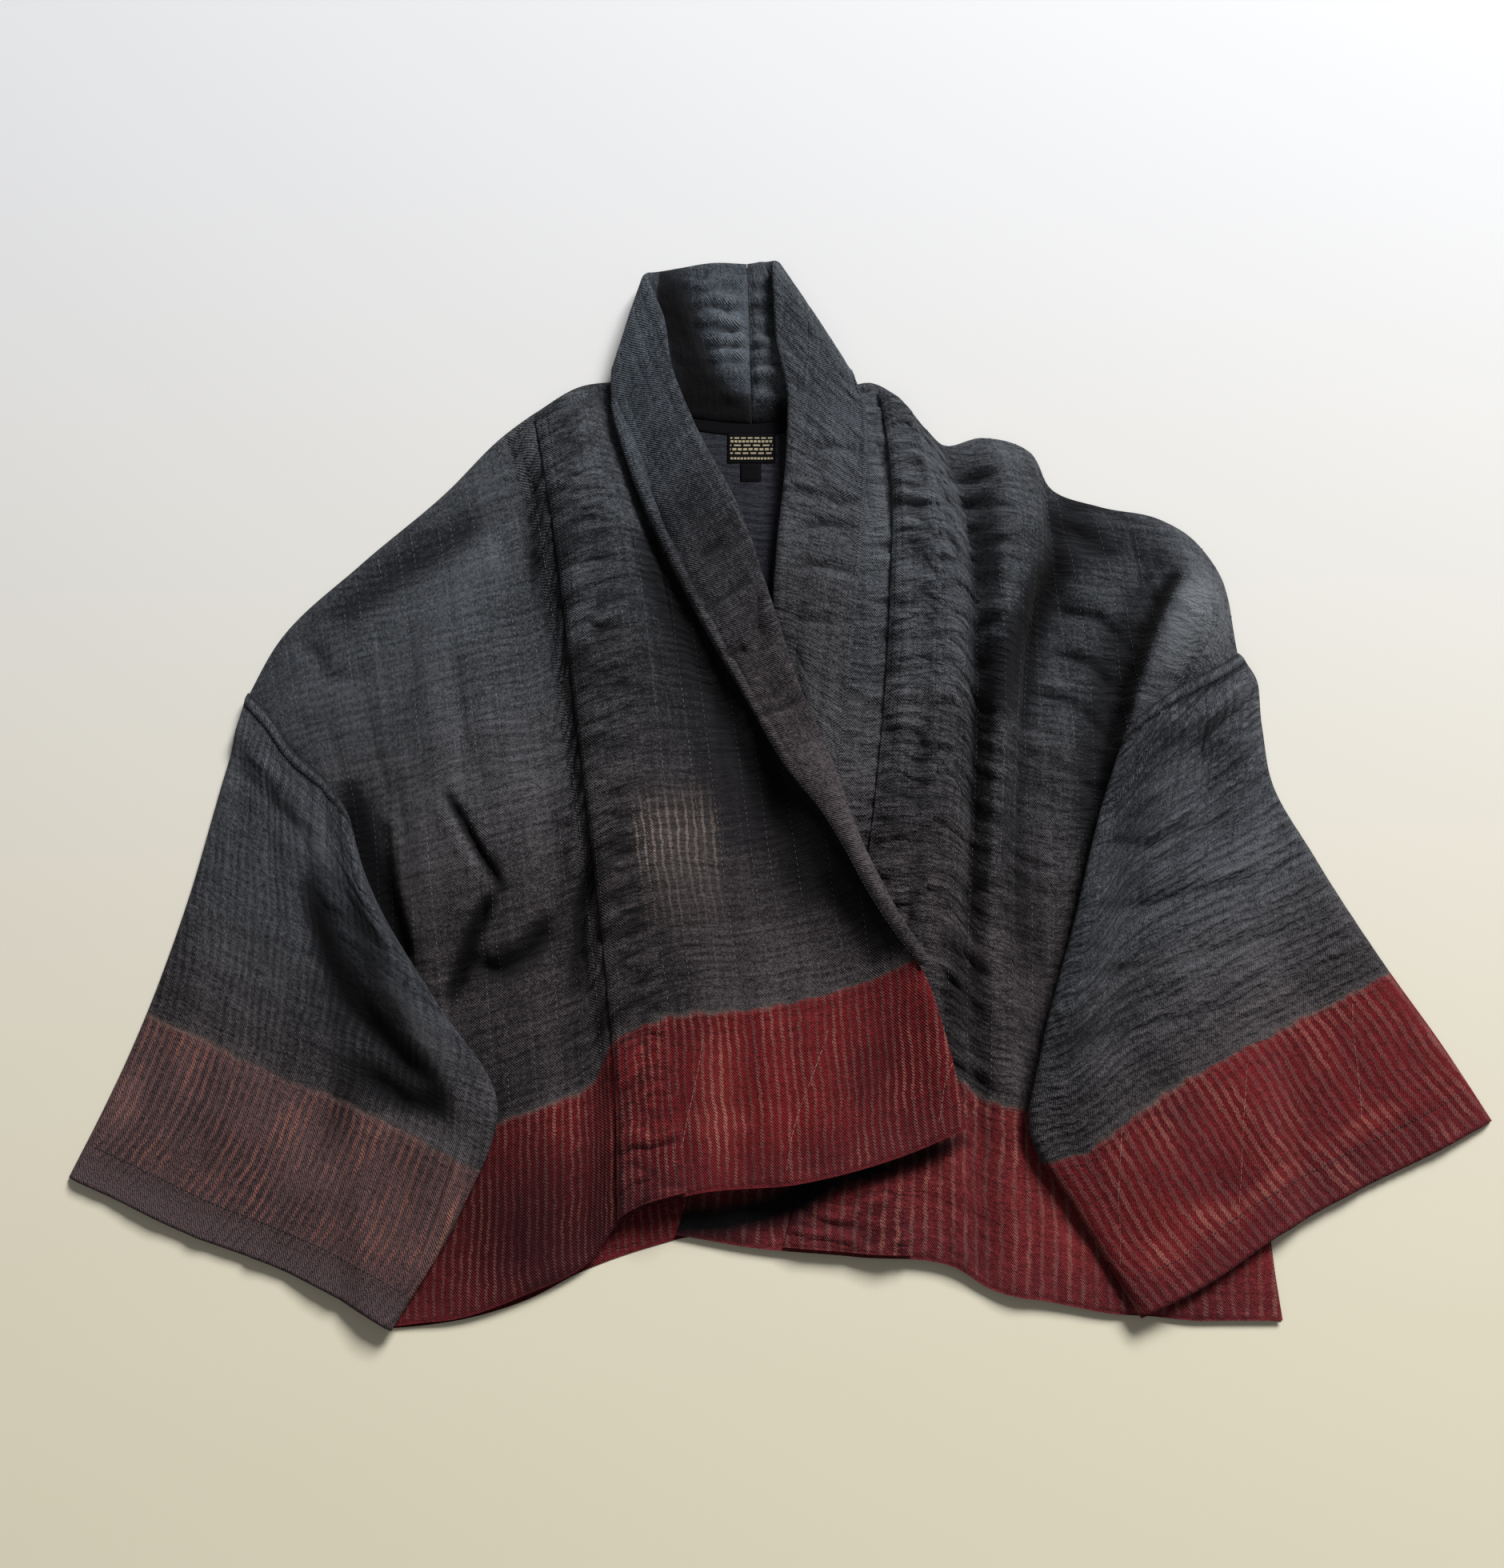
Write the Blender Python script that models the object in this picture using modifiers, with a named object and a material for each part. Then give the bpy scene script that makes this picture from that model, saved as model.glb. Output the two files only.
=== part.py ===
"""A cropped kimono jacket of quilted cloth, laid flat with its front up.

The wearer's right front crosses over the left one, the shawl collar lies open, and each sleeve
is laid in over the body. +X is towards the wearer's left, +Y towards the collar and +Z up. The
jacket rests on Z = 0, and the origin is the middle of its outline there. The tables are in
millimetres, and the scene is in metres.

Each piece of cloth is laid on those before it. Its table holds lines that run down the cloth,
along its edges, ridges and creases, and "rise" is how high the cloth stands there above what
lies under it.
"""

import bpy
import numpy as np

MM = 0.001

# The cloth
WALL = 2.0  # one quilted layer
HOLLOW = 0.8  # left between the two layers of a flattened tube
HOLLOW_BULGE = HOLLOW / 4  # how far the hollow stands out at a folded edge
TUBE = 2 * WALL + HOLLOW
LAID_GAP = 0.4  # between a piece and what it lies on
EDGE_BULGE = 1.2  # how far a tube's folded edge stands out, past its two layers
EDGE_SETBACK = WALL + 0.4  # how far inside a folded edge the hollow ends
EDGE_SHARE = 0.55  # a sleeve's thickness at its folded edges, against the rest of it
EDGE_ROLL = 6.0  # how far in from a folded edge a sleeve reaches its full thickness
SHOULDER_ROLL = 26.0  # how far in from the shoulder a front reaches its full height
LEAVING_SEAM = 30.0  # how far from the armhole seam a sleeve comes off the cloth beside it
RIGHT_SEAT = 0.6  # how far the sleeve is let down onto the seam
LEFT_SEAT = 0.9

# How far round each point a piece clears what lies under it, and how far it eases over that
FRONT_REACH = 8.0
FRONT_EASE = 10.0
COLLAR_REACH = 4.0
COLLAR_EASE = 8.0
SLEEVE_REACH = 10.0
SLEEVE_EASE = 8.0
TUCK_REACH = 10.0
TUCK_EASE = 6.0
SEAM_REACH = 0.0  # of a sleeve, right at its armhole seam
SEAM_EASE = 4.0

# The raster that holds the top of the pile
RASTER_CELL = 4.0
RASTER_HALF_X = 580.0
RASTER_HALF_Y = 480.0
SAMPLES_PER_SIDE = 10  # of each triangle that is added to the pile

# Rows down each piece, and cells between each of its lines and the next
LEAST_STEP = 1.0  # taken between two lines that meet
BACK_ROWS = 15
BACK_CELLS = [1] * 14
FRONT_ROWS = 25
LEFT_FRONT_CELLS = [1, 1, 2, 1, 2, 2, 1, 3, 2, 1, 2, 2]
RIGHT_FRONT_CELLS = [1, 2, 3, 3, 1, 2, 1, 2, 2]
SLEEVE_ROWS = 17
RIGHT_SLEEVE_CELLS = [2, 3, 3, 3, 2]
LEFT_SLEEVE_CELLS = [2, 3, 2, 3, 2]
COLLAR_CELLS = [1, 1, 1, 2, 2, 2, 2, 1, 1, 1, 1, 2, 2, 2, 1, 1]
COLLAR_SHARES = [0.0, 0.06, 0.22, 0.41, 0.59, 0.78, 0.94, 1.0]  # where its columns stand
COLLAR_THICKNESS = [0.6, 1.0, 1.0, 1.0, 1.0, 1.0, 1.0, 0.6]  # at those columns, in tubes
LEFT_TUCK_COLUMNS = (2, 4)  # the tuck's first and last column on its front
RIGHT_TUCK_COLUMNS = (10, 12)

# Colours from the cloth
CHARCOAL = (0.045, 0.047, 0.052, 1.0)
SLATE = (0.052, 0.056, 0.062, 1.0)
BLACK = (0.012, 0.012, 0.014, 1.0)
CLOTH_ROUGHNESS = 0.9
SATIN_ROUGHNESS = 0.55

# Columns of every line: x, y, rise
BACK = {
    "right side": [
        (-401, 48, 0), (-368, 6, 0), (-325, -38, 0), (-309, -100, 0), (-297, -230, 0),
        (-283, -406, 0),
    ],
    "right arm": [(-374, 95, 0), (-336, 30, 0), (-302, -60, 0), (-280, -230, 0), (-258, -404, 0)],
    "right shoulder": [
        (-317, 153, 0), (-292, 60, 0), (-268, -80, 0), (-250, -240, 0), (-230, -400, 0),
    ],
    "right flank": [
        (-248, 216, 0), (-232, 100, 0), (-214, -60, 0), (-196, -240, 0), (-182, -386, 0),
    ],
    "right blade": [
        (-208, 258, 0), (-192, 130, 0), (-176, -40, 0), (-160, -230, 0), (-142, -366, 0),
    ],
    "right neck": [(-124, 299, 0), (-118, 160, 0), (-112, -40, 0), (-104, -220, 0), (-96, -350, 0)],
    "right nape": [(-76, 275, 0), (-74, 120, 0), (-70, -80, 0), (-66, -240, 0), (-62, -342, 0)],
    "middle": [(-22, 268, 0), (-22, 100, 0), (-22, -100, 0), (-18, -250, 0), (-14, -346, 0)],
    "left nape": [(27, 276, 0), (40, 120, 0), (52, -80, 0), (64, -240, 0), (75, -352, 0)],
    "left neck": [(54, 297, 0), (75, 160, 0), (90, -40, 0), (104, -240, 0), (118, -362, 0)],
    "left blade": [(122, 248, 0), (132, 120, 0), (144, -60, 0), (158, -240, 0), (172, -380, 0)],
    "left fold": [(184, 248, 0), (190, 120, 0), (196, -60, 0), (202, -240, 0), (208, -388, 0)],
    "left flank": [(226, 198, 0), (234, 100, 0), (242, -60, 0), (248, -240, 0), (256, -394, 0)],
    "left shoulder": [(292, 187, 0), (292, 80, 0), (290, -80, 0), (298, -240, 0), (306, -398, 0)],
    "left side": [(344, 92, 0), (340, 0, 0), (338, -120, 0), (343, -260, 0), (354, -401, 0)],
}

LEFT_FRONT = {
    "front edge": [
        (52, 301, 2), (58, 255, 3), (56, 205, 3), (50, 148, 3), (42, 62, 3), (32, -10, 1),
        (8, -110, 0), (-35, -225, 0), (-76, -341, 1),
    ],
    "inner": [
        (71, 304, 2), (77, 258, 5), (80, 200, 6), (76, 130, 6), (70, 50, 5), (60, -40, 3),
        (44, -140, 1), (18, -240, 1), (-20, -350, 2),
    ],
    "tuck inner": [
        (87, 296, 2), (95, 249, 10), (100, 159, 10), (98, 65, 9), (90, -26, 5), (76, -130, 3),
        (66, -240, 2), (52, -356, 4),
    ],
    "tuck outer": [
        (113, 266, 2), (127, 215, 13), (137, 150, 13), (137, 60, 12), (133, -26, 10),
        (127, -120, 9), (126, -220, 6), (128, -366, 4),
    ],
    "gully": [
        (126, 253, 1), (139, 208, 5), (148, 145, 3), (148, 50, 2), (144, -40, 2),
        (139, -130, 2), (140, -225, 3), (143, -376, 3),
    ],
    "first ridge": [
        (156, 259, 6), (164, 214, 29), (168, 140, 27), (161, 50, 23), (155, -50, 17),
        (151, -140, 12), (156, -235, 9), (168, -384, 5),
    ],
    "ridge flank": [
        (192, 248, 6), (190, 200, 23), (186, 140, 16), (174, 50, 13), (167, -40, 10),
        (163, -130, 6), (168, -235, 5), (184, -386, 4),
    ],
    "first valley": [
        (209, 217, 1), (207, 160, 3), (194, 100, 1), (182, 30, 2), (176, -40, 4),
        (175, -140, 4), (180, -240, 3), (200, -389, 3),
    ],
    "second ridge": [
        (246, 203, 4), (250, 172, 13), (234, 96, 16), (222, 36, 18), (207, -40, 16),
        (197, -130, 9), (198, -240, 2), (232, -395, 2),
    ],
    "fold foot": [
        (291, 193, 3), (281, 150, 4), (265, 108, 9), (253, 62, 10), (241, 10, 9), (230, -60, 3),
        (238, -220, 1), (262, -397, 1),
    ],
    "fold edge": [
        (314, 179, 4), (295, 136, 26), (276, 96, 30), (262, 54, 29), (250, 10, 20),
        (250, -60, 4), (268, -220, 1), (292, -400, 1),
    ],
    "flap": [
        (332, 155, 5), (320, 118, 25), (303, 84, 26), (284, 52, 23), (268, 14, 14),
        (272, -60, 3), (292, -220, 1), (314, -400, 1),
    ],
    "armhole": [
        (347, 82, 1), (320, 65, 12), (298, 50, 16), (283, 34, 13), (280, 8, 5), (292, -40, 1),
        (310, -100, 0), (334, -230, 0), (354, -400, 1),
    ],
}

RIGHT_FRONT = {
    "armhole": [
        (-404, 50, 1), (-368, 8, 1), (-329, -37, 1), (-313, -94, 0), (-301, -200, 0),
        (-291, -300, 0), (-283, -405, 0),
    ],
    "pit": [
        (-381, 96, 3), (-350, 50, 9), (-312, -10, 4), (-298, -62, 1), (-284, -160, 0),
        (-270, -290, 0), (-260, -402, 1),
    ],
    "underarm": [
        (-321, 157, 4), (-299, 92, 11), (-278, 10, 15), (-266, -70, 15), (-254, -170, 4),
        (-244, -290, 1), (-233, -399, 2),
    ],
    "side ridge": [
        (-258, 214, 4), (-236, 140, 15), (-224, 40, 18), (-208, -60, 16), (-192, -160, 14),
        (-184, -270, 10), (-180, -381, 4),
    ],
    "side valley": [
        (-214, 261, 2), (-193, 195, 5), (-176, 105, 4), (-163, 15, 4), (-151, -75, 3),
        (-141, -180, 3), (-137, -270, 4), (-139, -361, 3),
    ],
    "tuck outer": [
        (-188, 281, 2), (-175, 210, 14), (-162, 120, 14), (-152, 40, 12), (-141, -40, 11),
        (-129, -130, 12), (-119, -215, 14), (-114, -330, 11),
    ],
    "tuck inner": [
        (-152, 302, 2), (-139, 240, 12), (-123, 155, 11), (-109, 65, 10), (-102, -40, 11),
        (-92, -130, 14), (-82, -200, 15), (-68, -313, 14),
    ],
    "breast": [
        (-139, 304, 2), (-119, 230, 9), (-97, 150, 9), (-72, 60, 6), (-48, -40, 11),
        (-22, -140, 15), (-5, -225, 18), (14, -304, 15),
    ],
    "edge valley": [
        (-132, 304, 2), (-109, 212, 3), (-79, 125, 2), (-42, 40, 1), (8, -50, 1), (56, -135, 1),
        (80, -205, 5), (88, -284, 12),
    ],
    "front edge": [
        (-127, 300, 2), (-101, 210, 4), (-69, 140, 4), (-40, 88, 4), (-11, 38, 4), (18, -10, 6),
        (44, -55, 10), (77, -123, 14), (100, -156, 16), (118, -209, 16), (131, -266, 14),
    ],
}

RIGHT_SLEEVE = {
    "overarm fold": [
        (-403, 52, 0), (-417, -10, 0), (-441, -110, 0), (-467, -192, 0), (-490, -250, 0),
        (-513, -301, 0),
    ],
    "outer": [
        (-389, 34, 0), (-398, -24, 2), (-410, -114, 2), (-426, -206, 2), (-450, -268, 2),
        (-474, -318, 1),
    ],
    "middle": [
        (-366, 11, 0), (-368, -46, 3), (-366, -126, 2), (-374, -222, 2), (-400, -294, 3),
        (-428, -339, 1),
    ],
    "valley": [
        (-340, -13, 0), (-332, -74, 2), (-312, -150, 1), (-306, -250, 3), (-336, -334, 4),
        (-361, -363, 1),
    ],
    "ridge": [
        (-325, -36, 0), (-308, -90, 11), (-268, -164, 15), (-233, -240, 14), (-258, -328, 6),
        (-306, -389, 2),
    ],
    "underarm fold": [
        (-319, -64, 0), (-295, -108, 5), (-251, -176, 9), (-204, -250, 6), (-230, -325, 3),
        (-277, -406, 1),
    ],
}

LEFT_SLEEVE = {
    "overarm fold": [
        (345, 85, 0), (357, 66, 0), (361, 30, 0), (366, -10, 0), (394, -66, 0), (446, -154, 0),
        (482, -209, 0), (513, -261, 0),
    ],
    "outer": [
        (331, 75, 0), (343, 30, 2), (346, -40, 2), (362, -100, 2), (408, -178, 2),
        (440, -235, 2), (470, -283, 1),
    ],
    "middle": [
        (306, 61, 0), (309, 4, 3), (298, -80, 4), (308, -148, 3), (352, -212, 3),
        (384, -268, 3), (418, -307, 1),
    ],
    "inner": [
        (281, 45, 0), (273, -14, 4), (252, -96, 6), (248, -180, 5), (286, -248, 5),
        (320, -300, 3), (350, -342, 1),
    ],
    "ridge": [
        (260, 27, 0), (246, -28, 6), (226, -112, 13), (203, -205, 14), (210, -276, 10),
        (254, -336, 4), (300, -374, 2),
    ],
    "underarm fold": [
        (252, 16, 0), (234, -36, 4), (211, -122, 8), (186, -212, 8), (177, -268, 5),
        (208, -322, 3), (253, -397, 1),
    ],
}

# Columns of a collar half: the seam's x, y and z, the free edge's x, y and z, and whether it rests
# on the body (1) or on the surface (0). z is the middle of the doubled cloth. The rows run from the
# centre back seam round the neck fold and down the front.
LEFT_COLLAR = [
    (-21.8, 271, 2.4, -25.8, 403, 2.4, 0),
    (5, 274.5, 2.4, -20, 404, 2.4, 0),
    (27, 281, 2.4, -15, 405, 2.4, 0),
    (42, 292, 2.4, -11, 405, 2.4, 0),
    (50, 301, 4.5, -7, 404, 5.5, 0),
    (54, 306, 9.0, -4, 402, 10.5, 0),
    (56, 304, 13.5, -5, 398, 15.5, 0),
    (59, 297, 15.0, -6, 390, 18.5, 0),
    (64, 283, 15.0, -5, 366, 20.0, 1),
    (66, 262, 14.5, -3, 330, 20.5, 1),
    (66, 236, 14.0, 5, 290, 20.0, 1),
    (64, 210, 13.0, 5, 250, 18.0, 1),
    (59, 148, 12.0, -3, 165, 15.0, 1),
    (53, 90, 11.0, -5, 112, 12.0, 1),
    (46, 20, 9.0, 12, 55, 9.0, 1),
    (36, -40, 7.0, 25, -5, 7.0, 1),
    (30, -70, 6.0, 22, -60, 6.0, 1),
]

RIGHT_COLLAR = [
    (-22.2, 271, 2.4, -26.2, 403, 2.4, 0),
    (-47, 273, 2.4, -52, 404, 2.4, 0),
    (-76, 278, 2.4, -77, 400, 2.4, 0),
    (-101, 289, 2.4, -93, 397, 2.4, 0),
    (-121, 306, 4.5, -101, 394, 6.5, 0),
    (-127, 310, 9.5, -104, 390, 14.0, 0),
    (-129, 307, 14.5, -104, 384, 21.5, 0),
    (-130, 297, 15.5, -101, 375, 25.0, 0),
    (-129, 273, 14.5, -90, 346, 27.5, 1),
    (-122, 247, 14.0, -84, 308, 28.0, 1),
    (-110, 212, 14.5, -68, 266, 25.0, 1),
    (-80, 147, 15.0, -30, 191, 19.0, 1),
    (-52, 94, 14.0, -8, 124, 15.0, 1),
    (-22, 42, 13.0, 14, 56, 13.0, 1),
    (5, -7, 11.0, 35, 6, 11.0, 1),
    (27, -35, 10.0, 45, -24, 10.0, 1),
    (44, -62, 8.0, 54, -58, 8.0, 1),
]

# Short gathers that cross each stitched tuck, from the shoulder to the hem
TUCK_GATHERS = 34
GATHER_RISE = 1.6
GATHER_UNEVEN = 0.25  # share by which they differ
GATHER_WAVE = 2.3  # radians of that difference a row

# The woven tags, with their lower left corners at x and y
NECK_LABEL = {"x": -41.0, "y": 239.0, "width": 37.0, "height": 24.0, "wall": 0.9}
SIZE_TAB = {"x": -31.0, "y": 224.0, "width": 16.0, "height": 14.6, "wall": 0.9}


def hermite(start, end, start_slope, end_slope, step, t):
    """The cubic through two points with the given slopes, at shares t of the step between them."""
    t2 = t * t
    t3 = t2 * t
    return (
        start * (2 * t3 - 3 * t2 + 1)
        + start_slope * step * (t3 - 2 * t2 + t)
        + end * (3 * t2 - 2 * t3)
        + end_slope * step * (t3 - t2)
    )


def slopes_through(points, step):
    """The slope at each of a row of points, weighted by the steps beside it."""
    slope = np.diff(points, axis=-2) / step[..., None]
    before = step[..., :-1, None]
    after = step[..., 1:, None]
    inside = (slope[..., :-1, :] * after + slope[..., 1:, :] * before) / (before + after)
    return np.concatenate([slope[..., :1, :], inside, slope[..., -1:, :]], axis=-2)


def curve_at(points, knot, where):
    """The smooth curve through points, whose distances along it are knot, at the distances where."""
    step = np.diff(knot)
    slope = slopes_through(points, step)
    span = np.clip(np.searchsorted(knot, where, "right") - 1, 0, len(step) - 1)
    width = step[span][:, None]
    share = (where - knot[span])[:, None] / width
    return hermite(points[span], points[span + 1], slope[span], slope[span + 1], width, share)


def distances(points):
    """How far along a row of points each one is."""
    step = np.linalg.norm(np.diff(points, axis=0), axis=1)
    return np.concatenate([[0.0], np.cumsum(step)])


def evenly_along(points, count):
    """count points, evenly spaced, on a smooth curve through the given ones."""
    points = np.asarray(points, float)
    knot = distances(points)
    return curve_at(points, knot, np.linspace(0.0, knot[-1], count))


def line_grid(table, rows, cells):
    """A piece's grid from its lines: x, y and rise, with cells[i] cells between line i and the next."""
    points = np.stack([evenly_along(line, rows) for line in table.values()], axis=1)
    step = np.maximum(np.linalg.norm(np.diff(points[..., :2], axis=1), axis=2), LEAST_STEP)
    slope = slopes_through(points, step)
    columns = [points[:, 0]]
    for i, count in enumerate(cells):
        for k in range(1, count + 1):
            columns.append(
                hermite(
                    points[:, i],
                    points[:, i + 1],
                    slope[:, i],
                    slope[:, i + 1],
                    step[:, i, None],
                    k / count,
                )
            )
    return np.stack(columns, axis=1)


def rounded(distance, radius):
    """0 at an edge and 1 from the radius inwards, on a quarter circle."""
    inward = np.clip(distance / radius, 0.0, 1.0)
    return np.sqrt(1 - (1 - inward) ** 2)


def from_first_row(grid):
    """How far each point of a grid is from its first row in plan, along its column."""
    step = np.linalg.norm(np.diff(grid[..., :2], axis=0), axis=2)
    return np.concatenate([np.zeros((1, grid.shape[1])), np.cumsum(step, axis=0)])


def from_sides(grid):
    """How far each point of a grid is from the nearer of its first and last columns in plan."""
    turned = np.swapaxes(grid, 0, 1)
    return np.minimum(from_first_row(turned), from_first_row(turned[::-1])[::-1]).T


def normals(grid):
    """Unit normals of a grid, from the differences along its rows and columns."""
    normal = np.cross(np.gradient(grid, axis=1), np.gradient(grid, axis=0))
    return normal / np.maximum(np.linalg.norm(normal, axis=2, keepdims=True), 1e-9)


def spread(field, reach, pick):
    """The pick, such as the largest, of the cells within reach of each cell of a raster."""
    for axis in (0, 1):
        margin = [(0, 0), (0, 0)]
        margin[axis] = (reach, reach)
        padded = np.pad(field, margin, mode="edge")
        shifts = range(2 * reach + 1)
        size = field.shape[axis]
        field = pick([np.take(padded, range(k, k + size), axis=axis) for k in shifts], axis=0)
    return field


class Pile:
    """The highest point of what has been laid so far, over a raster of the plan."""

    def __init__(self):
        rows = int(2 * RASTER_HALF_Y / RASTER_CELL)
        columns = int(2 * RASTER_HALF_X / RASTER_CELL)
        self.height = np.zeros((rows, columns))

    def add(self, obj):
        """Raises the pile to the top of an object, by points spread over its triangles."""
        mesh = obj.evaluated_get(bpy.context.evaluated_depsgraph_get()).to_mesh()
        mesh.calc_loop_triangles()
        points = np.empty(len(mesh.vertices) * 3, np.float32)
        mesh.vertices.foreach_get("co", points)
        corners = np.empty(len(mesh.loop_triangles) * 3, np.int32)
        mesh.loop_triangles.foreach_get("vertices", corners)
        triangles = (points.reshape(-1, 3) / MM)[corners.reshape(-1, 3)]
        a, b, c = triangles[:, 0], triangles[:, 1], triangles[:, 2]
        for i in range(SAMPLES_PER_SIDE + 1):
            for j in range(SAMPLES_PER_SIDE + 1 - i):
                point = a + (b - a) * (i / SAMPLES_PER_SIDE) + (c - a) * (j / SAMPLES_PER_SIDE)
                column = np.floor((point[:, 0] + RASTER_HALF_X) / RASTER_CELL).astype(int)
                row = np.floor((point[:, 1] + RASTER_HALF_Y) / RASTER_CELL).astype(int)
                np.maximum.at(self.height, (row, column), point[:, 2])

    def under(self, grid, reach, ease):
        """The height to clear at each point: the highest within reach, eased a little further out."""
        ease_cells = max(1, round(ease / RASTER_CELL))
        reach_cells = round(reach / RASTER_CELL) + ease_cells
        field = spread(spread(self.height, reach_cells, np.max), ease_cells, np.mean)
        column = (grid[..., 0] + RASTER_HALF_X) / RASTER_CELL - 0.5
        row = (grid[..., 1] + RASTER_HALF_Y) / RASTER_CELL - 0.5
        left = np.floor(column).astype(int)
        low = np.floor(row).astype(int)
        tx = column - left
        ty = row - low
        nearer = field[low, left] * (1 - tx) + field[low, left + 1] * tx
        further = field[low + 1, left] * (1 - tx) + field[low + 1, left + 1] * tx
        return nearer * (1 - ty) + further * ty


def cloth_material(name, colour, roughness):
    material = bpy.data.materials.new(name)
    material.use_nodes = True
    shader = material.node_tree.nodes["Principled BSDF"]
    shader.inputs["Base Color"].default_value = colour
    shader.inputs["Roughness"].default_value = roughness
    shader.inputs["Metallic"].default_value = 0.0
    material.diffuse_color = colour
    return material


def grid_faces(rows, columns, around, first):
    """Quads between a grid's points, counted from first. Around, the last column joins the first."""
    index = np.arange(rows * columns).reshape(rows, columns) + first
    here = index if around else index[:, :-1]
    following = np.roll(index, -1, axis=1) if around else index[:, 1:]
    return np.stack([here[:-1], following[:-1], following[1:], here[1:]], axis=-1).reshape(-1, 4)


def add_object(name, points, faces, material, collection):
    mesh = bpy.data.meshes.new(name)
    mesh.from_pydata((points.reshape(-1, 3) * MM).tolist(), [], faces.tolist())
    mesh.materials.append(material)
    mesh.shade_smooth()
    obj = bpy.data.objects.new(name, mesh)
    collection.objects.link(obj)
    return obj


def add_sheet(name, under_side, material, collection):
    """One layer of cloth: its under side as an open surface, which Solidify thickens upwards."""
    rows, columns = under_side.shape[:2]
    obj = add_object(name, under_side, grid_faces(rows, columns, False, 0), material, collection)
    if obj.data.polygons[0].normal.z < 0:
        obj.data.flip_normals()
    solidify = obj.modifiers.new("Cloth thickness", "SOLIDIFY")
    solidify.thickness = WALL * MM
    solidify.offset = 1.0
    bpy.context.view_layer.update()
    return obj


def tube_rings(centre, half, side, bulge):
    """Closed rings, a row each: the upper layer, a folded edge, the lower layer and the other edge."""
    upper = centre + normals(centre) * half
    lower = centre - normals(centre) * half
    first = (upper[:, :1] + lower[:, :1]) / 2 + side[:, :1] * bulge
    last = (upper[:, -1:] + lower[:, -1:]) / 2 + side[:, 1:] * bulge
    return np.concatenate([upper, last, lower[:, ::-1], first], axis=1)


def add_flat_tube(name, centre, thickness, material, collection):
    """Two layers of cloth joined along both long edges and open at both ends.

    centre is the middle surface, a grid whose rows cross the tube, and thickness is the tube's
    whole thickness at each of its points.
    """
    half = thickness[..., None] / 2
    side = np.stack([centre[:, 0] - centre[:, 1], centre[:, -1] - centre[:, -2]], axis=1)
    side /= np.linalg.norm(side, axis=2, keepdims=True)
    outer = tube_rings(centre, half, side, EDGE_BULGE)

    inset = centre.copy()
    inset[:, 0] -= side[:, 0] * EDGE_SETBACK
    inset[:, -1] -= side[:, 1] * EDGE_SETBACK
    hollow_half = np.maximum(half - WALL, HOLLOW / 2)
    inner = tube_rings(inset, hollow_half, side, HOLLOW_BULGE)

    rows, count = outer.shape[:2]
    skin = grid_faces(rows, count, True, 0)
    inside = grid_faces(rows, count, True, rows * count)[:, ::-1]
    near = np.arange(count)
    far = near + (rows - 1) * count
    near_cap = np.stack(
        [near, near + rows * count, np.roll(near, -1) + rows * count, np.roll(near, -1)], axis=1
    )
    far_cap = np.stack(
        [np.roll(far, -1), np.roll(far, -1) + rows * count, far + rows * count, far], axis=1
    )
    points = np.concatenate([outer.reshape(-1, 3), inner.reshape(-1, 3)])
    faces = np.concatenate([skin, inside, near_cap, far_cap])
    obj = add_object(name, points, faces, material, collection)
    face_outwards(obj)
    return obj


def face_outwards(obj):
    """Turns every face round if the closed mesh came out inside out."""
    mesh = obj.data
    mesh.calc_loop_triangles()
    volume = 0.0
    for triangle in mesh.loop_triangles:
        a, b, c = (mesh.vertices[i].co for i in triangle.vertices)
        volume += a.dot(b.cross(c))
    if volume < 0:
        mesh.flip_normals()


def lay_back(name, pile, material, collection):
    """Lays the back panel, whose under side is flat on the surface."""
    grid = line_grid(BACK, BACK_ROWS, BACK_CELLS)
    grid[..., 2] = 0.0
    pile.add(add_sheet(name, grid, material, collection))


def lay_front(name, table, cells, pile, material, collection):
    """Lays a front on the pile, rolled down to it along the shoulder, and returns its grid."""
    grid = line_grid(table, FRONT_ROWS, cells)
    rise = np.maximum(grid[..., 2], 0.0) * rounded(from_first_row(grid), SHOULDER_ROLL)
    grid[..., 2] = pile.under(grid, FRONT_REACH, FRONT_EASE) + LAID_GAP + rise
    pile.add(add_sheet(name, grid, material, collection))
    return grid


def lay_tuck(name, front, columns, pile, material, collection):
    """Lays a stitched tuck between two columns of its front, gathered all the way down."""
    rows = 2 * TUCK_GATHERS + 1
    first, last = columns
    lines = [evenly_along(front[1:, k], rows) for k in range(first, last + 1)]
    grid = np.stack(lines, axis=1)
    row = np.arange(rows)[:, None]
    uneven = 1 - GATHER_UNEVEN + GATHER_UNEVEN * np.sin(row * GATHER_WAVE)
    gathers = GATHER_RISE * (row % 2) * uneven
    grid[..., 2] = pile.under(grid, TUCK_REACH, TUCK_EASE) + LAID_GAP + gathers
    pile.add(add_sheet(name, grid, material, collection))


def lay_sleeve(name, table, cells, seat, pile, material, collection):
    """Lays a sleeve as a flattened tube, lapped on the body at the armhole and over it below."""
    centre = line_grid(table, SLEEVE_ROWS, cells)
    thickness = TUBE * (EDGE_SHARE + (1 - EDGE_SHARE) * rounded(from_sides(centre), EDGE_ROLL))
    rise = np.maximum(centre[..., 2], 0.0)
    leaving = np.clip(from_first_row(centre) / LEAVING_SEAM, 0.0, 1.0)
    close = pile.under(centre, SEAM_REACH, SEAM_EASE)
    clear = pile.under(centre, SLEEVE_REACH, SLEEVE_EASE)
    support = close + (clear - close) * leaving
    centre[..., 2] = support + LAID_GAP + thickness / 2 + rise - seat * (1 - leaving)
    pile.add(add_flat_tube(name, centre, thickness, material, collection))


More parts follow.
